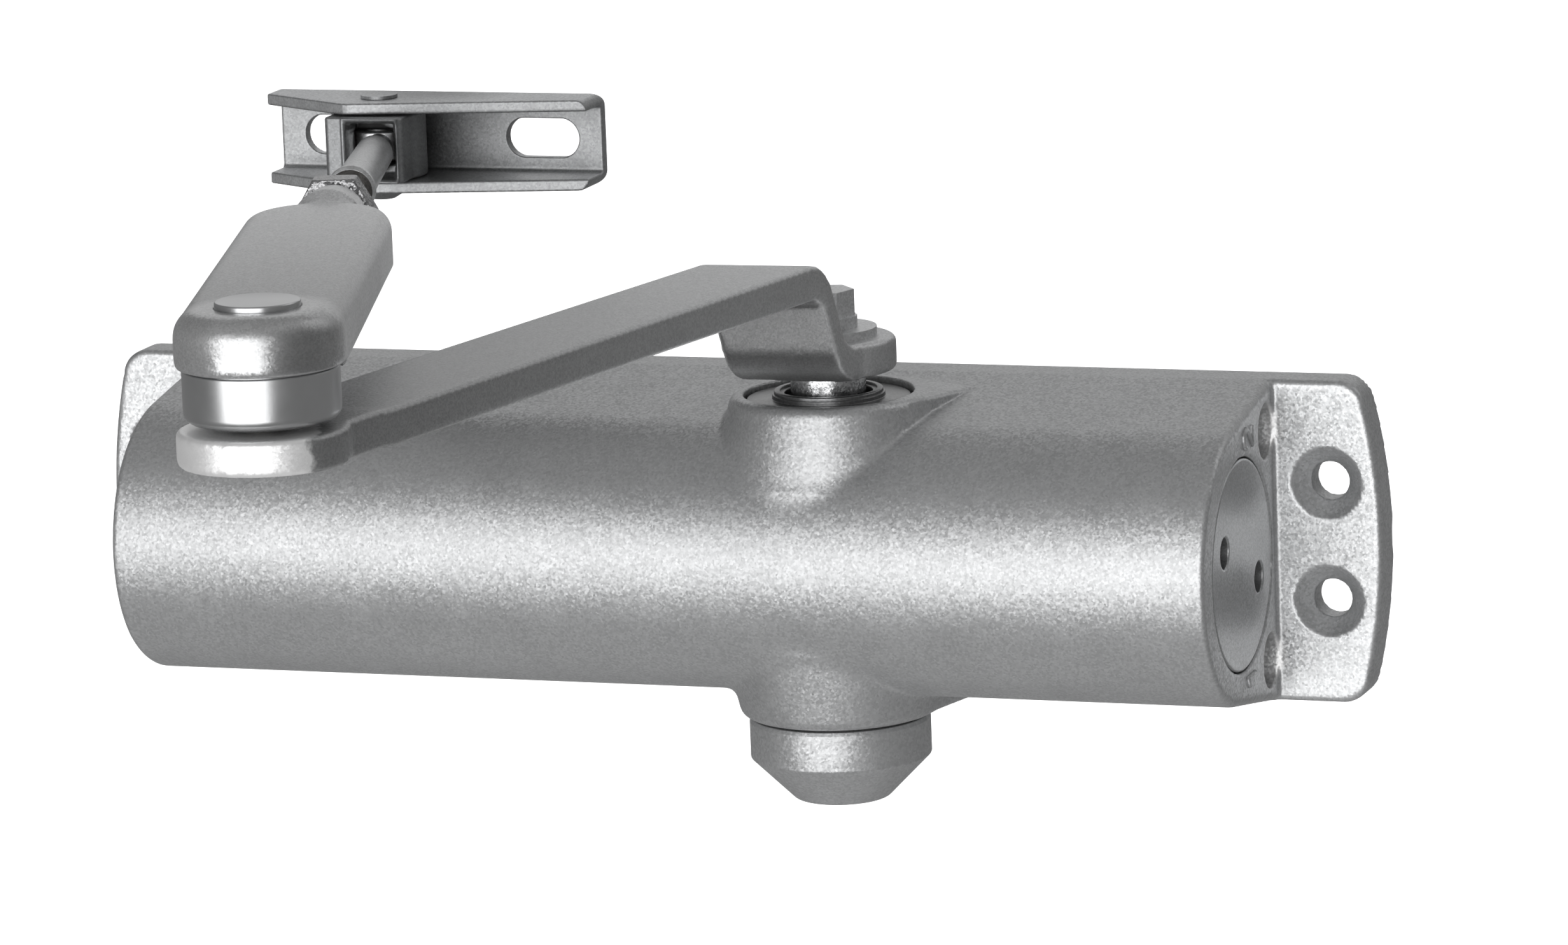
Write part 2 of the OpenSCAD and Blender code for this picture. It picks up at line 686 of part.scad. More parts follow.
function bar_ring(st) = let(p = st[0], z = st[1], a = st[2], s = st[3], h = bar_half(s), t = arm_t/2,
        c = edge_cut, b0 = -s*skew)
    [for (q = [[-h + c, -t], [h - c, -t], [h, -t + c], [h, t - c], [h - c, t], [-h + c, t], [-h, t - c], [-h, -t + c]])
        [b0 + q[0], -(p - q[1]*sin(a)), z + q[1]*cos(a)]];
module arm_bar() {
    n = len(stations) - 1;
    polyhedron(points = [for (st = stations) each bar_ring(st)], faces = tube_faces(n, 8));
}
module square_hole(af, h) { translate([-af/2, -af/2, 0]) cube([af, af, h]); }
module main_arm() {
    color("darkgray") difference() {
        union() {
            at_spindle() rotate([0, 0, bend_turn]) arm_bar();
            at_spindle(foot_z) cylinder(r = foot_r, h = arm_t);
            at_elbow(pad_z) cylinder(r = pad_r, h = pad_top - pad_z);
        }
        at_spindle(foot_z - 1) rotate([0, 0, -arm_turn]) square_hole(square_af + 2*press, arm_t + 2);
        at_elbow(pad_z - 2) cylinder(d = stud_d, h = 20);
    }
}

// Fastener of the main arm
module flat_washer() { color("white") at_spindle(foot_top) ring(washer_d/2, arm_screw_d/2 + 0.2, washer_t); }
module spring_washer() {
    color("silver") at_spindle(foot_top + washer_t) difference() {
        ring(arm_screw_af*0.62, arm_screw_d/2 + 0.2, spring_washer_t);
        rotate([0, 0, 40]) rotate([20, 0, 0]) translate([0, -0.4, -2]) cube([20, 0.8, 8]);
    }
}
module arm_screw() {
    head_z = foot_top + washer_t + spring_washer_t;
    color("lightgray") at_spindle() {
        translate([0, 0, head_z]) rotate([0, 0, 12]) hex_prism(arm_screw_af, arm_screw_head);
        translate([0, 0, foot_top - arm_screw_hold])
            cylinder(d = arm_screw_d - 2*press, h = head_z - foot_top + arm_screw_hold + e);
    }
}

// Elbow: a ball stud riveted into the main arm, and its seat
module ball_stud() {
    color("gainsboro") at_elbow() {
        translate([0, 0, pad_z + 0.2]) cylinder(d = stud_d - 2*press, h = ball_z - pad_z - 0.2);
        translate([0, 0, ball_z]) sphere(d = ball_d);
    }
}
seat_low = 3.2;
seat_high = 5.1;
module elbow_seat() {
    color("ivory") at_elbow(ball_z) difference() {
        intersection() {
            sphere(d = seat_d);
            translate([-seat_d, -seat_d, -seat_low]) cube([2*seat_d, 2*seat_d, seat_low + seat_high]);
        }
        sphere(d = ball_d + 2*run_fit + 0.04);
        translate([0, 0, -seat_d]) cylinder(d = stud_d + 0.7, h = seat_d);
    }
}
socket_ball_d = seat_d + 0.1;
module elbow_lower_cup() {
    color("silver") at_elbow() difference() {
        translate([0, 0, seam_z - seam_gap]) mirror([0, 0, 1])
            cup(lower_cup_d, lower_cup_h - seam_gap, lower_cup_r);
        translate([0, 0, ball_z]) sphere(d = socket_ball_d);
        translate([0, 0, cup_z - 1]) cylinder(d = stud_d + 2.4, h = ball_z - ball_d/2 - cup_z + 0.9);
    }
}

// Forearm: a flat bar with the elbow's upper cup at one end and a socket for the rod at the other
module forearm() {
    w = forearm_w/2;
    color("silver") difference() {
        union() {
            at_elbow(seam_z) cup(upper_cup_d, upper_cup_h, upper_cup_r);
            translate([elbow_x, elbow_y, forearm_z]) rotate([0, 0, forearm_dir]) {
                translate([0, -w + press, 0]) cube([forearm_len, forearm_w - 2*press, forearm_t]);
                translate([forearm_len, 0, 0]) cylinder(r = w, h = forearm_t);
            }
            along_forearm(hub_start) cylinder(d1 = socket_d, d2 = socket_d - 1.6, h = socket_end - hub_start);
        }
        at_elbow(cup_z) cylinder(d = lower_cup_d + 2*gap, h = lower_cup_h);
        at_elbow(ball_z - 10) cylinder(d = socket_ball_d, h = 10 + cup_top - plug_sunk - 0.5 - ball_z);
        at_elbow(ball_z) cylinder(d = elbow_plug_d, h = 20);
        along_forearm(thread_start - socket_spare) cylinder(d = thread_d + 0.1, h = socket_end);
    }
}
module elbow_plug() {
    color("white") at_elbow(cup_top - plug_sunk) cylinder(d = elbow_plug_d - 2*press, h = plug_sunk + plug_rise);
}

module lock_nut() {
    color("darkgray") along_forearm(nut_x) difference() {
        rotate([0, 0, 30]) hex_prism(nut_af, nut_t);
        translate([0, 0, -1]) cylinder(d = thread_d + 0.1, h = nut_t + 2);
    }
}

// Rod: threaded into the forearm, with a collar, a tapered shank and an eye around the shoe's pin
module threaded_rod() {
    color("dimgray") difference() {
        union() {
            along_forearm(thread_start) cylinder(d = thread_d, h = thread_end - thread_start);
            along_forearm(thread_end - e) cylinder(d = collar_d, h = collar_t + e);
            along_forearm(thread_end + collar_t - e)
                cylinder(d1 = thread_d - 0.3, d2 = neck_d + 0.2, h = taper_end - thread_end - collar_t + e);
            along_forearm(taper_end - e) cylinder(d = neck_d, h = forearm_reach - taper_end - pin_d/2);
            at_pin(rod_z - eye_h/2) cylinder(d = eye_d, h = eye_h);
        }
        at_pin(rod_z - eye_h) cylinder(d = pin_d + 0.1, h = 2*eye_h);
    }
}

// Swivel block: turns on the shoe's pin, with a funnel window that the rod's neck swings in
module swivel_block() {
    room_h = eye_h + 2*gap;
    window_h = block_h - 1.9;
    mouth = neck_d/2 + gap;
    reach = block_front + block_rim + 1;
    right_mouth = mouth/cos(neck_swing);
    window_x1 = right_mouth + reach*tan(neck_swing);
    back_len = sqrt(block_r*block_r - block_half_w*block_half_w);
    color("silver") at_pin() difference() {
        union() {
            translate([0, 0, rod_z - block_h/2]) cylinder(r = block_r, h = block_h);
            translate([-block_half_w, -block_front, rod_z - block_h/2])
                cube([2*block_half_w, block_front + back_len, block_h]);
            translate([-mouth - 1.1, -block_front - block_rim, rod_z - block_h/2])
                cube([mouth + 1.1 + block_half_w - 0.5, block_rim + e, block_h]);
        }
        translate([0, 0, rod_z - room_h/2]) linear_extrude(room_h) {
            circle(d = eye_room_d);
            polygon([[-mouth, 0], [-mouth, -reach], [window_x1, -reach], [right_mouth, 0]]);
        }
        translate([0, 0, rod_z - window_h/2]) linear_extrude(window_h)
            polygon([[-mouth, -eye_room_d/2 + 0.6], [-mouth, -reach], [window_x1, -reach],
                [right_mouth + (eye_room_d/2 - 0.6)*tan(neck_swing), -eye_room_d/2 + 0.6]]);
        translate([0, 0, rod_z - block_h]) cylinder(d = pin_d + 0.1, h = 2*block_h);
    }
}

// Shoe: a channel with tapered flanges and two slots, fixed to the door frame
module shoe_flange() {
    translate([shoe_x0, shoe_back - shoe_mid_d]) polygon([
        [0, shoe_mid_d], [0, shoe_mid_d - shoe_left_d], [shoe_corner - 1, 0.5], [shoe_corner, 0.1],
        [shoe_corner + 1, 0], [shoe_len, shoe_mid_d - shoe_right_d], [shoe_len, shoe_mid_d]]);
}
module shoe_bracket() {
    slot_z = rod_z;
    slot_mid = shoe_x0 + shoe_len - 4.2 - slot_len/2 - slot_dx/2;
    color("silver") difference() {
        union() {
            translate([0, 0, shoe_z0]) linear_extrude(shoe_t) shoe_flange();
            translate([0, 0, shoe_z0 + shoe_h - shoe_t]) linear_extrude(shoe_t) shoe_flange();
            translate([shoe_x0, shoe_back - shoe_t, shoe_z0]) cube([shoe_len, shoe_t, shoe_h]);
        }
        at_pin(shoe_z0 - 1) cylinder(d = pin_d, h = shoe_h + 2);
        for (s = [-1, 1]) translate([slot_mid + s*slot_dx/2, shoe_back + 1, slot_z]) rotate([90, 0, 0]) {
            for (k = [-1, 1]) translate([k*(slot_len - slot_w)/2, 0, 0]) cylinder(d = slot_w, h = shoe_t + 2);
            translate([-(slot_len - slot_w)/2, -slot_w/2, 0]) cube([slot_len - slot_w, slot_w, shoe_t + 2]);
        }
    }
}
module shoe_pin() {
    color("gray") at_pin() {
        translate([0, 0, shoe_z0 - 0.2]) cylinder(d = pin_d - 2*press, h = shoe_h + 0.4);
        translate([0, 0, shoe_z0 + shoe_h]) cylinder(d = pin_d + 1, h = 0.5);
        translate([0, 0, shoe_z0 - 1.5]) cylinder(d1 = pin_d - 1, d2 = 9, h = 1.5);
    }
}

body_casting();
end_plug_right();
end_plug_left();
end_plug_seals();
lower_cap();
bearing_retainer();
spindle_seal();
upper_bearing_race();
upper_bearing_rollers();
lower_bearing_race();
lower_bearing_rollers();
pinion();
piston();
check_valve_seat();
check_ball();
return_spring();
valve_screw_1();
valve_screw_2();
valve_seals();
main_arm();
flat_washer();
spring_washer();
arm_screw();
ball_stud();
elbow_seat();
elbow_lower_cup();
forearm();
elbow_plug();
lock_nut();
threaded_rod();
swivel_block();
shoe_bracket();
shoe_pin();
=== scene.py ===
import math

import bmesh
import bpy
import numpy as np
import openvdb
from mathutils import Matrix, Vector


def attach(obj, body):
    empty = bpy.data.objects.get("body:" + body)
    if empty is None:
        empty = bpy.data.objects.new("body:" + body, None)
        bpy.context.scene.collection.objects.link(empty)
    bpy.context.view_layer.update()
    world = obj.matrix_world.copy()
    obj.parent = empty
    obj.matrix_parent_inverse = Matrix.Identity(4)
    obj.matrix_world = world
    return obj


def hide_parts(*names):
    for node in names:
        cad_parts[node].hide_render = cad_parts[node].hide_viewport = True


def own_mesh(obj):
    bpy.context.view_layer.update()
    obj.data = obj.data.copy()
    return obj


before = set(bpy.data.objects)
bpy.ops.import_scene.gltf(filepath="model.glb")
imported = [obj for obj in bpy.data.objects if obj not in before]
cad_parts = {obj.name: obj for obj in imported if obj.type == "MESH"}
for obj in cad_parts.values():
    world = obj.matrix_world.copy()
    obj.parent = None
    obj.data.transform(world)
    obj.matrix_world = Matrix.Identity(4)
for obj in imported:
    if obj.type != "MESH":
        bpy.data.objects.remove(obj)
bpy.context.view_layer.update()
MM = 0.001

# ---- sizes, in millimetres, as in the part's source
SPINDLE = (24.0, -26.1)
BORE_Y = -26.1
BARREL_R = 22.35
HALF_LEN = 91.5  # half the body casting without its lugs
HALF_H = 26.0
BACK_D = 7.0  # the flat block at the back
ELBOW = (-7.0596, -181.9859)
ARM_DIR = math.radians(106.1)
ARM_X = (math.cos(ARM_DIR), math.sin(ARM_DIR))
ROD_Z = 62.4
PIN = (-55.9779, -12.5044)
SHOE_BACK = -2.8044
SHOE_X = (-76.578, -20.378)
SHOE_Z = 62.4

# ---- further sizes of the pieces made here, in millimetres
BORE_R = 16.0
PLUG_DEPTH, PLUG_SEAT_R = 12.0, 17.05
LUG_FRONT = -7.1
LUG_ARC_X, LUG_ARC_R, LUG_CORNER_R = 10.9, 98.0, 4.5
LUG_INNER_X = 86.0  # inside the body, so that the two join
HOLE_X, HOLE_Z, HOLE_R = 100.0, 9.5, 3.0
COUNTERSINK_START, COUNTERSINK_DEPTH = 4.3, 2.8  # from the back towards the front
SPINDLE_BORE_R = 10.75
BEARING_SEAT_R, BEARING_SEAT_Z = 12.0, 16.3
RETAINER_SEAT_R, RETAINER_SEAT_Z = 13.55, 22.3
VALVE_Y, VALVE_Z = -11.0, 18.5
VALVE_MOUTH_R, VALVE_MOUTH_X = 4.5, 81.5
VALVE_BORE_R, VALVE_BORE_X = 3.0, 67.2
OIL_WAY_R, OIL_WAY_X = 1.5, 27.5
BOSS_R = 15.6
BOSS_TIP = (20.5, 12.5)  # the point of the teardrop, from the spindle
ARM_REACH = 83.0  # from the elbow to the centre of the forearm's round end
ARM_TOP, ARM_SEAM, ARM_BOTTOM = 66.4, 58.4, 57.0
HUB_R, HUB_START, HUB_END = 5.7, 88.0, 103.0
NUT_S, NUT_HALF_T, NUT_HALF_W = 105.8, 2.5, 5.65
THREAD_R, THREAD_START, THREAD_END = 3.47, 72.0, 128.0
THREAD_HOLE_R, THREAD_HOLE_START = 3.55, 66.0
SHOE_SLOTS = (SHOE_X[0] + 10.55, SHOE_X[1] - 10.45)
SLOT_HALF_L, SLOT_R = 3.05, 3.2


# ---- camera: solved from the photograph
def make_camera():
    data = bpy.data.cameras.new("camera")
    cam = bpy.data.objects.new("camera", data)
    bpy.context.scene.collection.objects.link(cam)
    right = Vector((0.94500, 0.32508, -0.03630))
    ahead = Vector((-0.32583, 0.92576, -0.19184))
    up = Vector((-0.02876, 0.19312, 0.98076))
    m = Matrix((right, up, -ahead)).transposed().to_4x4()
    m.translation = Vector((0.445085, -1.245235, 0.265230))
    cam.matrix_world = m
    data.sensor_fit = "HORIZONTAL"
    data.sensor_width = 36.0
    data.lens = 189.94
    data.clip_start, data.clip_end = 0.05, 60
    bpy.context.scene.camera = cam


make_camera()


# ---- distance fields, in millimetres
def length(*v):
    s = v[0] * v[0]
    for a in v[1:]:
        s = s + a * a
    return np.sqrt(s)


def smin(a, b, k):
    """The lesser of two distances, with a blend k wide where they meet."""
    h = np.maximum(k - np.abs(a - b), 0) / k
    return np.minimum(a, b) - h * h * k / 4


def smax(a, b, k):
    return -smin(-a, -b, k)


def box2(a, b, r):
    """Rounded corner between two half-planes a <= 0 and b <= 0."""
    a, b = a + r, b + r
    return length(np.maximum(a, 0), np.maximum(b, 0)) + np.minimum(np.maximum(a, b), 0) - r


def poly2(x, y, pts):
    """Signed distance to a polygon in the plane."""
    n = len(pts)
    d = None
    sign = np.ones(np.broadcast(x, y).shape, dtype=np.float32)
    for i in range(n):
        ax, ay = pts[i]
        bx, by = pts[i - 1]
        ex, ey = bx - ax, by - ay
        wx, wy = x - ax, y - ay
        t = np.clip((wx * ex + wy * ey) / (ex * ex + ey * ey), 0, 1)
        q = (wx - ex * t) ** 2 + (wy - ey * t) ** 2
        d = q if d is None else np.minimum(d, q)
        c1, c2, c3 = y >= ay, y < by, ex * wy > ey * wx
        flip = (c1 & c2 & c3) | (~c1 & ~c2 & ~c3)
        sign = np.where(flip, -sign, sign)
    return sign * np.sqrt(d)


def gradient(fn, p, h=0.05):
    """Unit normals of a field at points p, and the points' true distance from its surface."""
    x, y, z = p[:, 0], p[:, 1], p[:, 2]
    g = np.stack([fn(x + h, y, z) - fn(x - h, y, z), fn(x, y + h, z) - fn(x, y - h, z),
                  fn(x, y, z + h) - fn(x, y, z - h)], 1) / (2 * h)
    g = np.broadcast_to(g, p.shape).astype(np.float64)
    size = np.maximum(np.linalg.norm(g, axis=1), 1e-6)
    return g / size[:, None], fn(x, y, z) / size


def field_mesh(name, fn, lo, hi, step, settle=2):
    """Meshes fn <= 0 on a grid and moves its points onto the surface, with smooth normals."""
    lo = np.array(lo, dtype=np.float32)
    axes = [np.arange(lo[i], hi[i] + step, step, dtype=np.float32) for i in range(3)]
    x, y, z = np.meshgrid(*axes, indexing="ij", sparse=True)
    d = np.broadcast_to(fn(x, y, z), [len(a) for a in axes])
    d = np.ascontiguousarray(np.clip(d / step, -3, 3), dtype=np.float32)
    grid = openvdb.FloatGrid(3.0)
    grid.copyFromArray(d)
    pts, tris, quads = grid.convertToPolygons(0.0, 0.0)
    p = pts.astype(np.float64) * step + lo
    for _ in range(settle):
        n, f = gradient(fn, p)
        p -= n * np.clip(f, -step, step)[:, None]
    n, f = gradient(fn, p)
    return finish_mesh(name, p, polygons(quads, tris), n)


# ---- meshes
def polygons(quads, tris):
    return [tuple(q) for q in quads.tolist()] + [tuple(t) for t in tris.tolist()]


def finish_mesh(name, p, faces, normals=None):
    """An object from points in millimetres, shaded smooth, with its own normals if they are given."""
    me = bpy.data.meshes.new(name)
    me.from_pydata((p * MM).tolist(), [], faces)
    me.update()
    if normals is not None:
        a = np.empty(len(me.polygons) * 3, dtype=np.float32)
        me.polygons.foreach_get("normal", a)
        first = np.array([f[0] for f in faces])
        if (a.reshape(-1, 3) * normals[first]).sum(1).mean() < 0:
            me.flip_normals()
    me.polygons.foreach_set("use_smooth", [True] * len(me.polygons))
    if normals is not None:
        me.normals_split_custom_set_from_vertices(normals.tolist())
    me.update()
    ob = bpy.data.objects.new(name, me)
    bpy.context.scene.collection.objects.link(ob)
    return ob


def face_outwards(ob, weld=False, sharp=None):
    """Turns an object's faces outwards. Edges over sharp degrees are shaded sharp."""
    bm = bmesh.new()
    bm.from_mesh(ob.data)
    if weld:
        bmesh.ops.remove_doubles(bm, verts=bm.verts, dist=1e-6)
        bmesh.ops.dissolve_degenerate(bm, dist=1e-7, edges=bm.edges)
    bmesh.ops.recalc_face_normals(bm, faces=bm.faces)
    bm.to_mesh(ob.data)
    bm.free()
    if sharp:
        ob.data.set_sharp_from_angle(angle=math.radians(sharp))
    return ob


def skin(name, points, sides, sharp=None):
    """A closed tube over rings of points, each ring with the same number of sides."""
    rings = len(points) // sides
    faces = []
    for i in range(rings - 1):
        for j in range(sides):
            k = (j + 1) % sides
            faces.append((i * sides + j, i * sides + k, (i + 1) * sides + k, (i + 1) * sides + j))
    faces.append(tuple(range(sides))[::-1])
    faces.append(tuple((rings - 1) * sides + j for j in range(sides)))
    return face_outwards(finish_mesh(name, np.array(points), faces), sharp=sharp)


def lathe(name, origin, axis, profile, segs=96, sharp=35):
    """Turns a closed profile of (radius, height) about an axis, in millimetres."""
    z = np.array(axis, float) / np.linalg.norm(axis)
    a = np.cross(z, (0, 0, 1) if abs(z[2]) < 0.9 else (1, 0, 0))
    a /= np.linalg.norm(a)
    b = np.cross(z, a)
    p, faces, n = [], [], len(profile)
    for i in range(segs):
        t = 2 * math.pi * i / segs
        for r, h in profile:
            p.append(np.array(origin) + z * h + (a * math.cos(t) + b * math.sin(t)) * max(r, 0.001))
    for i in range(segs):
        j = (i + 1) % segs
        for k in range(n):
            m = (k + 1) % n
            faces.append((i * n + k, i * n + m, j * n + m, j * n + k))
    return face_outwards(finish_mesh(name, np.array(p), faces), weld=True, sharp=sharp)


def rounded(points, radii, steps=5):
    """A closed profile with its corners rounded by the given radii."""
    out = []
    n = len(points)
    for i in range(n):
        p = np.array(points[i], float)
        r = radii[i] if i < len(radii) else 0
        if not r:
            out.append(tuple(p))
            continue
        a = np.array(points[i - 1], float) - p
        b = np.array(points[(i + 1) % n], float) - p
        la, lb = np.linalg.norm(a), np.linalg.norm(b)
        a, b = a / la, b / lb
        half = math.acos(max(-1, min(1, float(a @ b)))) / 2
        t = min(r / math.tan(half), la * 0.49, lb * 0.49)
        r = t * math.tan(half)
        c = p + (a + b) / np.linalg.norm(a + b) * (r / math.sin(half))
        s, e = p + a * t - c, p + b * t - c
        ang = math.atan2(s[0] * e[1] - s[1] * e[0], float(s @ e))
        for k in range(steps + 1):
            w = ang * k / steps
            out.append((c[0] + s[0] * math.cos(w) - s[1] * math.sin(w),
                        c[1] + s[0] * math.sin(w) + s[1] * math.cos(w)))
    return out


def soften(name, node, edge, step, fillet):
    """A copy of a CAD node's surface with its outer edges rounded by edge and its inner ones by fillet."""
    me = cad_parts[node].data
    me.calc_loop_triangles()
    p = np.empty(len(me.vertices) * 3, dtype=np.float32)
    me.vertices.foreach_get("co", p)
    t = np.empty(len(me.loop_triangles) * 3, dtype=np.int32)
    me.loop_triangles.foreach_get("vertices", t)
    p, t = p.reshape(-1, 3) / MM, t.reshape(-1, 3)
    quads = np.empty((0, 4), dtype=np.uint32)
    for shift in (-edge, edge + fillet, -fillet):
        grid = openvdb.FloatGrid.createLevelSetFromPolygons(
            np.ascontiguousarray(p, dtype=np.float32), triangles=np.ascontiguousarray(t, dtype=np.uint32),
            quads=np.ascontiguousarray(quads, dtype=np.uint32),
            transform=openvdb.createLinearTransform(voxelSize=step), halfWidth=abs(shift) / step + 3)
        p, t, quads = grid.convertToPolygons(float(shift), 0.0)
    return face_outwards(finish_mesh(name, p.astype(np.float64), polygons(quads, t)))


# ---- materials
def nodes_of(name):
    m = bpy.data.materials.new(name)
    m.use_nodes = True
    nt = m.node_tree
    nt.nodes.clear()
    out = nt.nodes.new("ShaderNodeOutputMaterial")
    b = nt.nodes.new("ShaderNodeBsdfPrincipled")
    nt.links.new(b.outputs[0], out.inputs[0])
    return m, nt, b


def add(nt, kind, **inputs):
    """A shader node. An input is given by its name, or by its number as i0, i1 and so on."""
    n = nt.nodes.new("ShaderNode" + kind)
    for k, v in inputs.items():
        if k in ("operation", "data_type"):
            setattr(n, k, v)
            continue
        sock = n.inputs[int(k[1:])] if k[0] == "i" and k[1:].isdigit() else n.inputs[k.replace("_", " ")]
        if isinstance(v, bpy.types.NodeSocket):
            nt.links.new(v, sock)
        else:
            sock.default_value = v
    return n


def metal(name, color, rough, metallic=1.0, flake=0.0, flake_size=0.4, mottle=0.08, mottle_size=6.0,
          bump=0.1, bump_size=0.5, rough_var=0.08, bare_metal_and_painted_light_patches=(), painted_light_by_facing=(), painted_shadow=None, burnish=None):
    """A metallic finish: flakes with their own tilt, cloudy tone, fine bumps and uneven gloss.

    Grain sizes are in millimetres. The rest is in the object's own metres and directions:
    bare_metal_and_painted_light_patches  patches of another colour, each (spot, reach, raggedness, colour):
    bare metal, a painted highlight and painted shade painted_light_by_facing  painted light and shade:
    factors on surfaces that face one way, each (direction, least distance from x = 0, factor) painted_shadow
    (spot, reach, factor), a painted shadow: a factor that fades out with the distance from the spot burnish
    (spot, reach, roughness), a patch of another roughness
    """
    m, nt, b = nodes_of(name)
    coords = add(nt, "TexCoord").outputs
    tc = coords["Object"]

    def math_node(operation, *values):
        return add(nt, "Math", operation=operation, **{f"i{i}": v for i, v in enumerate(values)}).outputs[0]

    def ramp(value, from_min, from_max, to_min, to_max):
        return add(nt, "MapRange", Value=value, i1=from_min, i2=from_max, i3=to_min, i4=to_max).outputs[0]

    def distance(spot):
        return add(nt, "VectorMath", operation="DISTANCE", i0=tc, i1=spot).outputs["Value"]

    cloud = add(nt, "TexNoise", Vector=tc, Scale=1000.0 / mottle_size, Detail=4.0, Roughness=0.6)
    cloud = cloud.outputs["Fac"]
    shade = ramp(cloud, 0.3, 0.7, 1 - mottle, 1 + mottle)
    normal = None
    if flake:
        cells = add(nt, "TexVoronoi", Vector=tc, Scale=1000.0 / flake_size).outputs["Color"]
        tilt = add(nt, "VectorMath", operation="SUBTRACT", i0=cells, i1=(0.5, 0.5, 0.5)).outputs[0]
        tilt = add(nt, "VectorMath", operation="SCALE", i0=tilt, i3=flake).outputs[0]
        own = add(nt, "NewGeometry").outputs["Normal"]
        normal = add(nt, "VectorMath", operation="ADD", i0=own, i1=tilt).outputs[0]
        normal = add(nt, "VectorMath", operation="NORMALIZE", i0=normal).outputs[0]
        green = add(nt, "SeparateColor", i0=cells).outputs[1]
        shade = math_node("MULTIPLY", shade, ramp(green, 0.0, 1.0, 0.86, 1.12))
    # painted light and shade: surfaces that face one way are painted lighter or darker
    for direction, beyond, factor in painted_light_by_facing:
        facing = add(nt, "VectorMath", operation="DOT_PRODUCT", i0=coords["Normal"], i1=direction)
        tone = ramp(facing.outputs["Value"], 0.7, 0.95, 0.0, 1.0)
        if beyond:
            aside = math_node("ABSOLUTE", add(nt, "SeparateXYZ", i0=tc).outputs[0])
            tone = math_node("MULTIPLY", tone, math_node("GREATER_THAN", aside, beyond))
        shade = math_node("MULTIPLY", shade, ramp(tone, 0.0, 1.0, 1.0, factor))
    # a painted shadow, darkest at the spot
    if painted_shadow:
        spot, reach, factor = painted_shadow
        shade = math_node("MULTIPLY", shade, ramp(distance(spot), 0.0, reach, factor, 1.0))
    col = add(nt, "VectorMath", operation="SCALE", i0=color, i3=shade).outputs[0]
    # patches of another colour: bare metal, a near-white painted highlight on bare metal, and black painted
    # shade in a hollow
    for spot, reach, ragged, patch_colour in bare_metal_and_painted_light_patches:
        rag = add(nt, "TexNoise", Vector=tc, Scale=450.0, Detail=4.0).outputs["Fac"]
        edge = reach + ragged / 2
        far = math_node("MULTIPLY_ADD", rag, ragged, distance(spot))
        mix = ramp(far, edge - 0.0003, edge + 0.0003, 1.0, 0.0)
        col = add(nt, "Mix", data_type="RGBA", i0=mix, i6=col, i7=patch_colour).outputs[2]
    nt.links.new(col, b.inputs["Base Color"])
    fine = add(nt, "TexNoise", Vector=tc, Scale=1000.0 / bump_size, Detail=3.0).outputs["Fac"]
    bumps = add(nt, "Bump", Strength=bump, Distance=0.0003, Height=fine)
    if normal is not None:
        nt.links.new(normal, bumps.inputs["Normal"])
    nt.links.new(bumps.outputs[0], b.inputs["Normal"])
    gloss = ramp(cloud, 0.3, 0.7, max(0.02, rough - rough_var), rough + rough_var)
    if burnish:
        spot, reach, smooth = burnish
        mix = ramp(distance(spot), reach - 0.001, reach + 0.001, 1.0, 0.0)
        gloss = add(nt, "Mix", data_type="FLOAT", i0=mix, i2=gloss, i3=smooth).outputs[0]
    nt.links.new(gloss, b.inputs["Roughness"])
    b.inputs["Metallic"].default_value = metallic
    return m


def plain(name, color, rough, bump=0.15, size=0.6):
    """Rubber or plastic."""
    return metal(name, color, rough, metallic=0.0, mottle=0.12, bump=bump, bump_size=size)


FRONT, UP = (0, -1, 0), (0, 0, 1)
ELBOW_M = (-0.00706, -0.18199)
MOUTHS = [((0.0902, -0.011, z), 0.00475, 0.0, (0.75, 0.75, 0.75, 1)) for z in (-0.0185, 0.0185)]
# the lugs' front faces, beyond the end faces, are painted lighter: painted light
CAST = metal("casting_paint", (0.48, 0.485, 0.49), 0.45, metallic=0.88, flake=0.16, flake_size=0.36,
             mottle=0.02, mottle_size=9, bump=0.16, bump_size=0.7, rough_var=0.03, bare_metal_and_painted_light_patches=MOUTHS,
             painted_light_by_facing=[(FRONT, 0.0918, 1.30)])
ARM_GRAIN = dict(metallic=0.85, flake=0.10, flake_size=0.26, mottle=0.03, mottle_size=9, bump=0.04,
                 bump_size=0.5, rough_var=0.03)
# painted light and shade on the forearm: faces towards the front right are painted darker, faces towards the
# back right lighter, and a painted shadow darkens it near the elbow
ARM = metal("arm_paint", (0.70, 0.705, 0.71), 0.46, **ARM_GRAIN, burnish=((*ELBOW_M, 0.0575), 0.0135, 0.27),
            painted_light_by_facing=[((0.9, -0.43, 0), 0, 0.5), ((0.96, 0.277, 0), 0, 1.35)],
            painted_shadow=((*ELBOW_M, 0.066), 0.09, 0.66))
# painted light and shade on the main arm: the crank's front, its side facing right and its lower front faces
# are painted darker, a painted shadow darkens it towards the elbow, and the end pad's worn bare patch is
# painted near white as a highlight
PAD = metal("arm_paint_worn_painted_light", (0.61, 0.615, 0.62), 0.46, **ARM_GRAIN,
            bare_metal_and_painted_light_patches=[((-0.0095, -0.1872, 0.0462), 0.0128, 0.003, (0.93, 0.93, 0.93, 1))],
            painted_light_by_facing=[(FRONT, 0, 0.245), ((0.981, -0.195, 0), 0, 0.66), ((0, -0.62, -0.78), 0, 0.45)],
            painted_shadow=((*ELBOW_M, 0.05), 0.14, 0.60))
PLUG = metal("plug_paint", (0.41, 0.415, 0.42), 0.34, metallic=0.9, flake=0.05, flake_size=0.25, mottle=0.04,
             mottle_size=5, bump=0.04, rough_var=0.04)
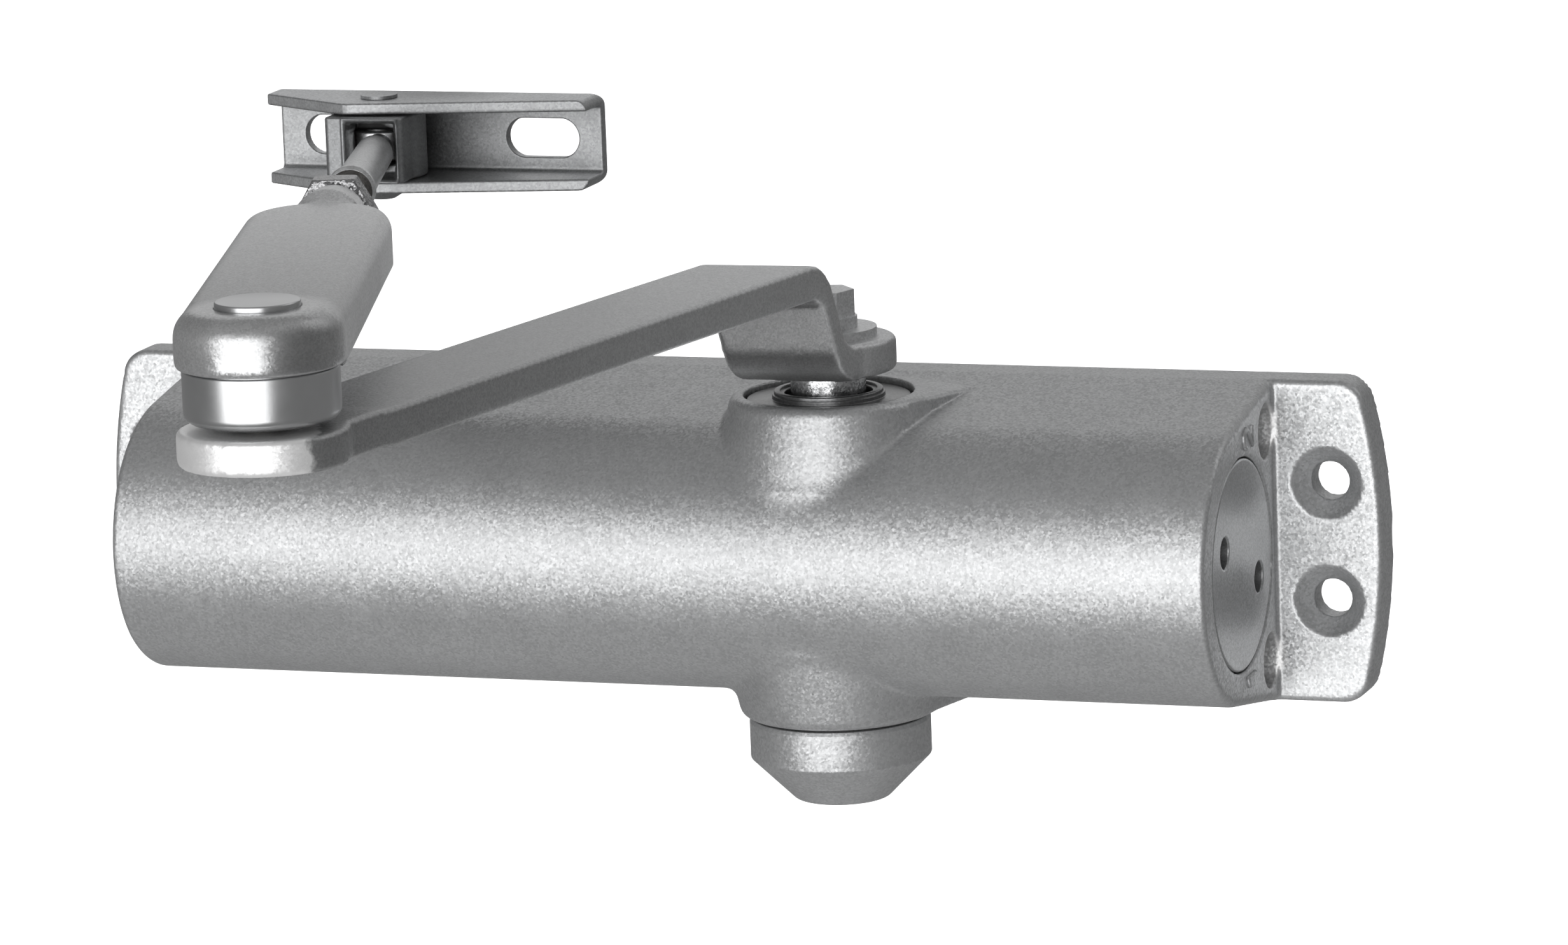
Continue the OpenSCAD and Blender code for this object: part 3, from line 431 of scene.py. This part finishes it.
POLISH = metal("burnished_steel", (0.56, 0.565, 0.57), 0.30, mottle=0.02, mottle_size=5, bump=0.02,
               rough_var=0.03)
SCREW = metal("screw_steel", (0.66, 0.665, 0.67), 0.44, flake=0.06, flake_size=0.3, mottle=0.04,
              mottle_size=3, bump=0.05, rough_var=0.04)
ZINC_GRAIN = dict(flake=0.06, flake_size=0.3, mottle=0.03, mottle_size=4, bump=0.05, bump_size=0.4,
                  rough_var=0.04)
# painted light and shade on the shoe: its upward and front-left faces are painted lighter, and a painted
# shadow darkens it beside the block
ZINC = metal("zinc_steel", (0.38, 0.385, 0.39), 0.50, **ZINC_GRAIN,
             painted_light_by_facing=[(UP, 0, 1.7), ((-0.85, -0.53, 0), 0, 1.9)],
             painted_shadow=((-0.0490, -0.0048, 0.0624), 0.017, 0.22))
# the black patch round the pin is painted shade inside the block's window
BLOCK = metal("block_steel", (0.30, 0.305, 0.31), 0.50, **ZINC_GRAIN,
              bare_metal_and_painted_light_patches=[((-0.05598, -0.0125, 0.0624), 0.0062, 0.0008, (0.02, 0.02, 0.02, 1))])
RETAINER = metal("retainer_steel", (0.25, 0.252, 0.255), 0.34, flake=0.05, flake_size=0.3, mottle=0.05,
                 mottle_size=3, bump=0.05, rough_var=0.04)
NUT = metal("nut_steel", (0.34, 0.34, 0.345), 0.28, flake=0.45, flake_size=0.32, mottle=0.12, mottle_size=1.5,
            bump=0.1, bump_size=0.3)
BRIGHT = metal("bright_steel", (0.66, 0.665, 0.67), 0.38, flake=0.04, flake_size=0.25, mottle=0.05,
               mottle_size=2, bump=0.04, rough_var=0.04)
NECK = metal("spindle_steel", (0.62, 0.625, 0.63), 0.24, flake=0.10, flake_size=0.3, mottle=0.16,
             mottle_size=1.6, bump=0.1, rough_var=0.06)
DARK = metal("dark_steel", (0.13, 0.125, 0.12), 0.36, flake=0.12, flake_size=0.3, mottle=0.25,
             mottle_size=1.2, bump=0.3, bump_size=0.3)
SPRING = metal("spring_steel", (0.16, 0.17, 0.19), 0.3, mottle=0.1, bump=0.1)
GROUND = metal("bearing_steel", (0.68, 0.68, 0.70), 0.15, mottle=0.04, bump=0.02)
SINTER = metal("sintered_steel", (0.24, 0.24, 0.25), 0.5, mottle=0.15, mottle_size=1.5, bump=0.3)
BRASS = metal("turned_brass", (0.66, 0.48, 0.20), 0.28, mottle=0.08, bump=0.05)
RUBBER = plain("seal_rubber", (0.03, 0.03, 0.03), 0.6)
NYLON = plain("seat_plastic", (0.80, 0.78, 0.70), 0.45)

# every CAD node gets its material, also those that a piece replaces
FINISHES = {
    "body_casting": CAST, "lower_cap": CAST, "end_plug_right": PLUG, "end_plug_left": PLUG,
    "bearing_retainer": RETAINER, "pinion": NECK, "piston": SINTER, "return_spring": SPRING,
    "end_plug_seals": RUBBER, "spindle_seal": RUBBER, "valve_seals": RUBBER,
    "upper_bearing_race": GROUND, "upper_bearing_rollers": GROUND,
    "lower_bearing_race": GROUND, "lower_bearing_rollers": GROUND,
    "check_valve_seat": BRASS, "check_ball": GROUND, "valve_screw_1": BRIGHT, "valve_screw_2": BRIGHT,
    "main_arm": PAD, "flat_washer": SCREW, "spring_washer": SCREW, "arm_screw": SCREW,
    "ball_stud": DARK, "elbow_seat": NYLON, "elbow_lower_cup": POLISH, "elbow_plug": POLISH, "forearm": ARM,
    "lock_nut": NUT, "threaded_rod": DARK, "swivel_block": BLOCK, "shoe_bracket": ZINC, "shoe_pin": ZINC}
for node, finish in FINISHES.items():
    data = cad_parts[node].data
    data.materials.clear()
    data.materials.append(finish)


def place(ob, body, slot, material, *nodes):
    """Finishes a piece: its material, the body it rides on and the nodes it replaces; slot is not used."""
    ob.data.materials.clear()
    ob.data.materials.append(material)
    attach(ob, body)
    if nodes:
        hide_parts(*nodes)
    return ob


# ---- body casting
def body_section(y, z, r=7.0):
    """Barrel with flared sides; the shoulder between a flared side and the flat top has radius r."""
    depth = -BORE_Y - BACK_D
    flare = math.atan2(HALF_H, depth) + math.acos(BARREL_R / math.hypot(depth, HALF_H))
    c, n = math.cos(flare), math.sin(flare)
    top, inner = HALF_H - r, BARREL_R - r
    shoulder = BORE_Y + (inner - top * n) / c
    inside_back = 3  # past y = 0, where the casting is cut off
    pts = [(inside_back, top), (shoulder, top), (BORE_Y + inner * c, inner * n), (BORE_Y, 0),
           (BORE_Y + inner * c, -inner * n), (shoulder, -top), (inside_back, -top)]
    return np.minimum(length(y - BORE_Y, z) - BARREL_R, poly2(y, z, pts) - r)


def boss(x, y, z):
    """Both bosses: a flared cylinder and a pointed tail under a sloping top."""
    bx, by, az = x - SPINDLE[0], y - SPINDLE[1], np.abs(z)
    flare_w, flare_h = 3.0, 13.0
    flare = np.clip((HALF_H - az) / flare_h, 0, 1)
    side = (length(bx, by) - (BOSS_R + flare_w * flare)) * 0.97
    d = smax(side, az - HALF_H, 1.6)
    # the tail lies between the tip and the two points where lines from it touch the cylinder
    to_tip = math.atan2(BOSS_TIP[1], BOSS_TIP[0])
    touch = math.acos(BOSS_R / np.linalg.norm(BOSS_TIP))
    front, back = ((BOSS_R * math.cos(a), BOSS_R * math.sin(a)) for a in (to_tip - touch, to_tip + touch))
    tail = poly2(bx, by, [(0, 0), front, BOSS_TIP, back])
    slope, slope_start = math.tan(math.radians(6)), 9.98
    top = az - HALF_H + slope * np.maximum(bx - slope_start, 0)
    return smin(d, smax(tail, top, 0.8), 0.6)


def lug_outline(x, z):
    ax, az = np.abs(x), np.abs(z)
    arc = length(ax - LUG_ARC_X, z) - LUG_ARC_R
    corner_z = HALF_H - LUG_CORNER_R
    corner_x = LUG_ARC_X + math.sqrt((LUG_ARC_R - LUG_CORNER_R) ** 2 - corner_z ** 2)
    corner = length(np.maximum(ax - corner_x, 0), np.maximum(az - corner_z, 0)) - LUG_CORNER_R
    inside = np.maximum(az - HALF_H, arc)
    return np.where((ax > corner_x) & (az > corner_z), np.maximum(corner, arc), inside)


def casting(x, y, z):
    """Barrel, lugs and bosses, less the bores, seats, screw holes and valve mouths."""
    ax, az = np.abs(x), np.abs(z)
    end_edge = 0.8 + 0.8 * np.clip((az - 14.0) / 10.0, 0, 1)
    body = box2(body_section(y, z), ax - HALF_LEN, end_edge)
    body = smax(body, y + 0 * x, 0.3)
    lug = box2(np.maximum(lug_outline(x, z), LUG_INNER_X - ax), LUG_FRONT - y, 1.1)
    lug = np.maximum(lug, y)
    d = np.maximum(smin(body, lug, 0.8), az - HALF_H)
    blend = np.clip(1.4 - (x - SPINDLE[0]) * 0.06, 0.5, 1.6)
    d = smin(d, boss(x, y, z), blend)
    d = np.maximum(d, y)
    # the cylinder bore, and the end plugs' seats
    bore = length(y - BORE_Y, z)
    d = np.maximum(d, -(bore - BORE_R))
    d = smax(d, -np.maximum(bore - PLUG_SEAT_R, (HALF_LEN - PLUG_DEPTH) - ax), 0.35)
    # the spindle's bore, the bearings' seats and the retainer's seat
    spindle = length(x - SPINDLE[0], y - SPINDLE[1])
    d = np.maximum(d, -np.maximum(spindle - SPINDLE_BORE_R, az - 40))
    d = np.maximum(d, -np.maximum(spindle - BEARING_SEAT_R, BEARING_SEAT_Z - az))
    d = smax(d, -np.maximum(spindle - RETAINER_SEAT_R, RETAINER_SEAT_Z - z), 0.35)
    # the screw holes and their countersinks
    hole = length(ax - HOLE_X, az - HOLE_Z)
    d = smax(d, -(hole - HOLE_R), 0.25)
    sink = np.clip(-y - COUNTERSINK_START, 0, COUNTERSINK_DEPTH)
    d = smax(d, -(hole - HOLE_R - sink) * 0.75, 0.2)
    # the valves' mouths, bores and oil ways
    valve = length(y - VALVE_Y, az - VALVE_Z)
    mouth = smax(valve - VALVE_MOUTH_R, y - LUG_FRONT, 1.5)
    d = smax(d, -np.maximum(mouth, VALVE_MOUTH_X - x), 0.25)
    d = np.maximum(d, -np.maximum(valve - VALVE_BORE_R, VALVE_BORE_X - x))
    return np.maximum(d, -np.maximum(valve - OIL_WAY_R, OIL_WAY_X - x))


ob = field_mesh("body_casting_shell", casting, (-110.0, -50.0, -27.5), (110.0, 1.5, 27.5), 0.55)
place(ob, "closer_body", "casting_paint", CAST, "body_casting")


# ---- cast numerals on the right end face
def numeral(name, points, radius=0.42, proud=0.08):
    """A round bead through points (y, z), its centre just proud of the end face."""
    cu = bpy.data.curves.new(name, "CURVE")
    cu.dimensions = "3D"
    cu.bevel_depth = radius * MM
    cu.bevel_resolution = 3
    cu.use_fill_caps = True
    sp = cu.splines.new("POLY")
    sp.points.add(len(points) - 1)
    for i, (y, z) in enumerate(points):
        sp.points[i].co = ((HALF_LEN + proud) * MM, y * MM, z * MM, 1)
    o = bpy.data.objects.new(name, cu)
    bpy.context.scene.collection.objects.link(o)
    o.data.materials.append(CAST)
    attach(o, "closer_body")
    return o


two = [(0.1, 3.3), (0.4, 4.0), (1.1, 4.45), (2.1, 4.45), (2.8, 3.9), (3.1, 3.1), (2.7, 2.2),
       (0.1, 0.0), (3.2, 0.0)]
numeral("numeral_two", [(-19.7 - up, 17.9 + across) for across, up in two])
numeral("numeral_one", [(-21.0, -18.25), (-25.2, -18.25), (-24.3, -19.8)])


# ---- end plugs
def plug_field(s):
    """An end plug: s is 1 for the right one and -1 for the left one, which has the spring's pilot."""
    plug_r, recess = 16.82, 0.12
    # where the pilot, the seal's groove and the spanner holes lie is measured in from the end face
    pilot_r, pilot_start, pilot_end = 9.9, 11.0, 15.0
    groove_r, groove_middle, groove_half_w = 15.0, 7.7, 1.3
    circle_r, hole_r, hole_depth = 10.15, 2.5, 4.4
    holes = [(circle_r * math.cos(math.radians(a)), circle_r * math.sin(math.radians(a))) for a in (-22, 158)]

    def fn(x, y, z):
        ax = x * s
        r = length(y - BORE_Y, z)
        d = box2(r - plug_r, ax - (HALF_LEN - recess), 0.35)
        d = np.maximum(d, (HALF_LEN - PLUG_DEPTH) - ax)
        if s < 0:
            reach = np.maximum(HALF_LEN - pilot_end - ax, ax - HALF_LEN + pilot_start)
            d = np.minimum(d, np.maximum(r - pilot_r, reach))
        groove = np.maximum(groove_r - r, np.abs(ax - (HALF_LEN - groove_middle)) - groove_half_w)
        d = np.maximum(d, -groove)
        for hy, hz in holes:
            hole = np.maximum(length(y - BORE_Y - hy, z - hz) - hole_r, HALF_LEN - hole_depth - ax)
            d = smax(d, -hole, 0.25)
        return d
    return fn


for side, s, lo, hi in (("right", 1, 75.5, 92.5), ("left", -1, -92.5, -75.5)):
    ob = field_mesh(f"end_plug_{side}_turned", plug_field(s), (lo, -44.5, -18.5), (hi, -7.5, 18.5), 0.35)
    place(ob, "closer_body", "casting_paint", PLUG, f"end_plug_{side}")


# ---- cap, retainer
prof = rounded([(7.1, -21.9), (12.0, -22.6), (12.0, -26.35), (14.2, -26.35), (14.5, -27.0), (14.5, -32.8),
                (7.5, -39.8), (0.0, -39.8), (0.0, -32.8), (7.1, -32.8)],
               [0, 0, 0, 0.2, 0.3, 0.5, 1.6, 0, 0, 0])
ob = lathe("lower_cap_turned", (*SPINDLE, 0), UP, prof, 128)
place(ob, "closer_body", "casting_paint", CAST, "lower_cap")

prof = rounded([(13.1, 22.4), (13.1, 25.2), (9.0, 25.2), (9.0, 25.9), (8.7, 25.9), (8.7, 26.5), (7.7, 26.5),
                (7.7, 26.1), (7.0, 26.1), (7.0, 24.7), (8.0, 24.7), (8.0, 22.4)],
               [0, 0.25, 0.1, 0.1, 0.05, 0.25, 0.2, 0.1, 0.2, 0, 0, 0])
ob = lathe("bearing_retainer_turned", (*SPINDLE, 0), UP, prof, 96)
place(ob, "closer_body", "zinc_steel", RETAINER, "bearing_retainer")


# ---- arms
ob = soften("main_arm_forged", "main_arm", 0.75, 0.33, 0.6)
place(ob, "spindle", "arm_paint", PAD, "main_arm")


def along(x, y):
    """Forearm coordinates of a point: along it and across it."""
    dx, dy = x - ELBOW[0], y - ELBOW[1]
    return dx * ARM_X[0] + dy * ARM_X[1], -dx * ARM_X[1] + dy * ARM_X[0]


def forearm_field(x, y, z):
    """The forearm: a flat bar with an upper cup at the elbow and a hub at its round end."""
    s, t = along(x, y)
    rho = length(x - ELBOW[0], y - ELBOW[1])
    half_w, taper, end_half_w = 12.0, 1.2, 10.8
    half = half_w - taper * np.clip(s / ARM_REACH, 0, 1) * np.clip(-t / end_half_w, 0, 1)
    plan = length(s - np.clip(s, 0, ARM_REACH), t) - half
    low = ARM_SEAM - 1.4 * np.clip((s - 1.0) / 2.0, 0, 1)
    d = np.maximum(box2(plan, z - ARM_TOP, 3.4), box2(plan, low - z, 1.2))
    d = np.maximum(d, -np.maximum(rho - 11.6, z - ARM_SEAM))
    cup = smax(box2(rho - 12.0, z - ARM_TOP, 4.5), ARM_SEAM - z, 0.5)
    d = smin(d, cup, 1.0)
    hub = length(t, z - ROD_Z) - HUB_R + 0.7 * np.clip((s - 94.5) / 8.5, 0, 1) + 0.8 * np.clip(94.0 - s, 0, 9)
    hub = smax(smax(hub, s - HUB_END, 0.5), HUB_START - s, 0.5)
    d = smin(d, hub, 1.0)
    d = np.maximum(d, ARM_BOTTOM - z)
    # the ball's room, the plug's hole and the thread's hole
    ball_z, room_r, room_top, plug_hole_r = 59.4, 6.65, 64.4, 6.2
    ball = length(rho, np.minimum(z - ball_z, 0)) - room_r
    d = np.maximum(d, -np.maximum(ball, z - room_top))
    d = smax(d, -np.maximum(rho - plug_hole_r, ball_z - z), 0.25)
    return np.maximum(d, -np.maximum(length(t, z - ROD_Z) - THREAD_HOLE_R, THREAD_HOLE_START - s))


ob = field_mesh("forearm_forged", forearm_field, (-50.0, -195.0, 55.5), (7.0, -80.0, 68.0), 0.33)
place(ob, "forearm", "arm_paint", ARM, "forearm")

prof = rounded([(4.7, 50.3), (11.3, 50.3), (11.3, 58.0), (10.7, 58.0), (10.7, 58.3), (6.6, 58.3), (5.6, 55.9),
                (4.7, 54.3)], [0.3, 1.7, 0.3, 0, 0, 0.2, 1.0, 0.3], 8)
ob = lathe("elbow_lower_cup_turned", (*ELBOW, 0), UP, prof, 128)
place(ob, "forearm", "polished_steel", POLISH, "elbow_lower_cup")

prof = rounded([(0, 64.9), (6.18, 64.9), (6.18, 67.5), (0, 67.5)], [0, 0.2, 0.3, 0])
ob = lathe("elbow_plug_turned", (*ELBOW, 0), UP, prof, 96)
place(ob, "forearm", "polished_steel", POLISH, "elbow_plug")


# ---- lock nut and rod
def nut_field(x, y, z):
    """A hexagon nut with chamfered corners, its hole smooth."""
    s, t = along(x, y)
    up = z - ROD_Z
    end = np.abs(s - NUT_S) - NUT_HALF_T
    sin60 = 0.8660254
    b = np.abs(0.5 * up + sin60 * t)
    c = np.abs(0.5 * up - sin60 * t)
    d = smax(smax(np.maximum(np.abs(up), b), c, 0.25) - NUT_HALF_W, end, 0.25)
    r = length(t, up)
    d = smax(d, (r + end * 1.6 - 5.75) * 0.53, 0.15)
    return smax(d, -(r - THREAD_HOLE_R), 0.3)


cx, cy = ELBOW[0] + NUT_S * ARM_X[0], ELBOW[1] + NUT_S * ARM_X[1]
ob = field_mesh("lock_nut_cut", nut_field, (cx - 8.5, cy - 6.0, ROD_Z - 7.2),
                (cx + 8.5, cy + 6.0, ROD_Z + 7.2), 0.2)
place(ob, "lock_nut", "zinc_steel", NUT, "lock_nut")


def thread(name, s0, s1, r_out, depth, pitch, segs=40):
    """A screw thread along the forearm: rings of points whose radius follows the helix."""
    rows = int((s1 - s0) / pitch * 10)
    p = []
    for i in range(rows + 1):
        s = s0 + (s1 - s0) * i / rows
        for j in range(segs):
            a = 2 * math.pi * j / segs
            phase = (s / pitch - j / segs) % 1.0
            cut = min(1.0, max(0.0, 2.6 * abs(phase - 0.5) - 0.15))
            end = min(1.0, (s - s0) / 1.2, (s1 - s) / 0.8)
            r = r_out - depth * (cut if end >= 1 else cut + (1 - cut) * (1 - end))
            across, up = r * math.cos(a), r * math.sin(a)
            p.append((ELBOW[0] + s * ARM_X[0] - across * ARM_X[1],
                      ELBOW[1] + s * ARM_X[1] + across * ARM_X[0], ROD_Z + up))
    return skin(name, p, segs, sharp=50)


ob = thread("rod_thread", THREAD_START, THREAD_END, THREAD_R, 0.55, 1.0)
place(ob, "rod", "dark_steel", DARK, "threaded_rod")
prof = rounded([(0, 127.9), (3.3, 127.9), (3.9, 128.3), (3.9, 129.3), (3.35, 129.8), (3.0, 165.4),
                (2.2, 166.2), (2.2, 174.0), (0, 174.0)], [0, 0.2, 0.35, 0.35, 0.5, 0.7, 0.4, 0, 0])
ob = lathe("rod_shank_turned", (*ELBOW, ROD_Z), (*ARM_X, 0), prof, 64)
place(ob, "rod", "bright_steel", BRIGHT)
prof = rounded([(2.55, -2.4), (4.6, -2.4), (4.6, 2.4), (2.55, 2.4)], [0.2, 0.4, 0.4, 0.2])
ob = lathe("rod_eye_forged", (*PIN, ROD_Z), UP, prof, 64)
place(ob, "rod", "bright_steel", BRIGHT)


# ---- swivel block: a funnel window that the rod's shank swings in
def block_field(x, y, z):
    bx, by, bz = x - PIN[0], y - PIN[1], np.abs(z - SHOE_Z)
    half_w, front_y, back_r, half_h = 6.7, 8.0, 7.4, 5.25
    eye_room_r, eye_room_half_h, gate_half_h, pin_hole_r = 5.1, 2.7, 4.3, 2.55
    rho = length(bx, by)
    front = box2(np.abs(bx) - half_w, -by - front_y, 0.9)
    plan = smin(np.maximum(front, by), rho - back_r, 0.3)
    d = box2(plan, bz - half_h, 0.35)
    lip = box2(np.maximum(-3.6 - bx, bx - 6.2), -by - 8.8, 0.5)
    lip = np.maximum(np.maximum(lip, by + 7.0), bz - half_h)
    d = smin(d, lip, 0.3)
    # the room for the rod's eye, and the gate that the shank comes in by
    right = (bx - 2.64 + by * 0.3443) * 0.9455
    sides = np.maximum(-2.5 - bx, right)
    room = np.minimum(rho - eye_room_r, np.maximum(sides, by))
    d = smax(d, -np.maximum(room, bz - eye_room_half_h), 0.2)
    gate = np.maximum(sides, by + 4.0)
    mouth = np.clip(-by - 7.2, 0, 1.7) * 0.25
    d = smax(d, -(smax(gate, bz - gate_half_h, 0.5) - mouth), 0.7)
    return smax(d, -(rho - pin_hole_r), 0.2)


ob = field_mesh("swivel_block_cast", block_field, (PIN[0] - 8.5, PIN[1] - 10.0, SHOE_Z - 6.0),
                (PIN[0] + 8.5, PIN[1] + 8.5, SHOE_Z + 6.0), 0.2)
place(ob, "swivel_block", "zinc_steel", BLOCK, "swivel_block")


# ---- shoe
def shoe_field(x, y, z):
    """A folded channel: its flanges are widest near the pin and taper to both ends."""
    az = np.abs(z - SHOE_Z)
    half_h, wall, flange, pin_hole_r = 7.5, 2.0, 16.7, 2.5
    outer = box2(y - SHOE_BACK, az - half_h, 2.6)
    inner = box2(y - (SHOE_BACK - wall), az - (half_h - wall), 0.7)
    x0, x1, front = SHOE_X[0], SHOE_X[1], SHOE_BACK - flange
    plan = poly2(x, y, [(x0, SHOE_BACK + 2), (x0, SHOE_BACK - 7.4), (x0 + 15.8, front + 0.5),
                        (x0 + 16.8, front + 0.1), (x0 + 17.8, front), (x1, SHOE_BACK - 9.0),
                        (x1, SHOE_BACK + 2)])
    end = box2(x - x1, az - half_h, 2.2)
    d = smax(smax(outer, -inner, 0.3), plan, 0.5)
    d = smax(d, end, 0.3)
    d = smax(d, -(length(x - PIN[0], y - PIN[1]) - pin_hole_r), 0.2)
    for c in SHOE_SLOTS:
        q = np.abs(x - c) - SLOT_HALF_L
        d = smax(d, -(length(np.maximum(q, 0), z - SHOE_Z) - SLOT_R), 0.25)
    return d


ob = field_mesh("shoe_folded", shoe_field, (-78.0, -21.0, 54.0), (-19.0, -1.8, 71.0), 0.3)
place(ob, "shoe", "zinc_steel", ZINC, "shoe_bracket")


# ---- return spring: one smooth helix
def spring_points(turns, wire):
    """Points along the wire, from the left end plug to the piston, with a nearly closed turn at each end."""
    x0, x1 = -HALF_LEN + PLUG_DEPTH + 0.3 + wire / 2, 3.0 - 0.3 - wire / 2
    r = (29 - wire) / 2
    pts = []
    n = turns * 48
    lead = 0.8 / turns
    for i in range(n + 1):
        t = i / n
        s = min(1, max(0, (t - lead) / (1 - 2 * lead)))
        a = 2 * math.pi * turns * t
        pts.append(((x0 + (x1 - x0) * (0.08 * t + 0.92 * s)), BORE_Y + r * math.cos(a), r * math.sin(a)))
    return pts


def tube(name, pts, radius, sides=14):
    """A round wire along points that wind about the bore."""
    p = []
    n = len(pts)
    v = np.array(pts, float)
    for i in range(n):
        t = v[min(i + 1, n - 1)] - v[max(i - 1, 0)]
        t /= np.linalg.norm(t)
        out = np.array((0, v[i][1] - BORE_Y, v[i][2]))
        out /= np.linalg.norm(out)
        b = np.cross(t, out)
        b /= np.linalg.norm(b)
        out = np.cross(b, t)
        for j in range(sides):
            a = 2 * math.pi * j / sides
            p.append(v[i] + radius * (out * math.cos(a) + b * math.sin(a)))
    return skin(name, p, sides)


WIRE = 3.6
ob = tube("return_spring_wound", spring_points(9, WIRE), WIRE / 2)
place(ob, "closer_body", "spring_steel", SPRING, "return_spring")
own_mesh(ob)


# ---- white surroundings and lights, in metres
def stage_sheet(name, points, faces, glow):
    """A white sheet behind or under the part, which casts no shadow and shows in no reflection."""
    me = bpy.data.meshes.new(name)
    me.from_pydata(points, [], faces)
    o = bpy.data.objects.new(name, me)
    bpy.context.scene.collection.objects.link(o)
    m, nt, b = nodes_of(name + "_paper")
    b.inputs["Base Color"].default_value = (0.92, 0.92, 0.92, 1)
    b.inputs["Roughness"].default_value = 0.95
    b.inputs["Emission Color"].default_value = (1, 1, 1, 1)
    b.inputs["Emission Strength"].default_value = glow
    me.materials.append(m)
    o.visible_glossy = False
    o.visible_shadow = False
    return o


def stage():
    """A wide floor far below, and walls and a ceiling near enough for any camera to see them."""
    low, high = -3.2, 6.0

    def square(reach, z):
        return [(-reach, -reach, z), (reach, -reach, z), (reach, reach, z), (-reach, reach, z)]

    stage_sheet("floor", square(60.0, low), [(0, 1, 2, 3)], 0.85)
    walls = [(i, (i + 1) % 4, (i + 1) % 4 + 4, i + 4) for i in range(4)]
    o = stage_sheet("backdrop", square(8.0, low) + square(8.0, high), walls + [(4, 5, 6, 7)], 1.0)
    o.visible_diffuse = False


def area(name, az, el, dist, width, height, power, target=(0.0, -0.03, 0.02)):
    """A soft light that faces the part: its azimuth is 0 in front of the part and 90 on its right."""
    d = bpy.data.lights.new(name, "AREA")
    d.shape = "RECTANGLE"
    d.size, d.size_y = width, height
    d.energy = power
    o = bpy.data.objects.new(name, d)
    bpy.context.scene.collection.objects.link(o)
    a, e = math.radians(az), math.radians(el)
    back = Vector((math.sin(a) * math.cos(e), -math.cos(a) * math.cos(e), math.sin(e)))
    o.location = Vector(target) + back * dist
    o.rotation_mode = "QUATERNION"
    o.rotation_quaternion = (-back).to_track_quat("-Z", "Y")
    o.visible_camera = False


stage()
area("softbox_front", -3, 3, 1.6, 2.0, 1.6, 26)
area("softbox_back", -166, 28, 2.0, 1.8, 1.7, 4.2)
area("softbox_corner", 128, 38, 1.8, 1.0, 1.0, 2.2)
area("softbox_top", 0, 88, 1.6, 2.6, 1.8, 1.8)
area("softbox_below", 0, -88, 1.6, 2.6, 1.8, 2.2)
world = bpy.data.worlds.new("studio")
world.use_nodes = True
bg = world.node_tree.nodes["Background"]
bg.inputs[0].default_value = (0.22, 0.22, 0.22, 1)
bg.inputs[1].default_value = 1.0
bpy.context.scene.world = world
bpy.context.scene.view_settings.view_transform = "Standard"
bpy.context.scene.view_settings.look = "None"
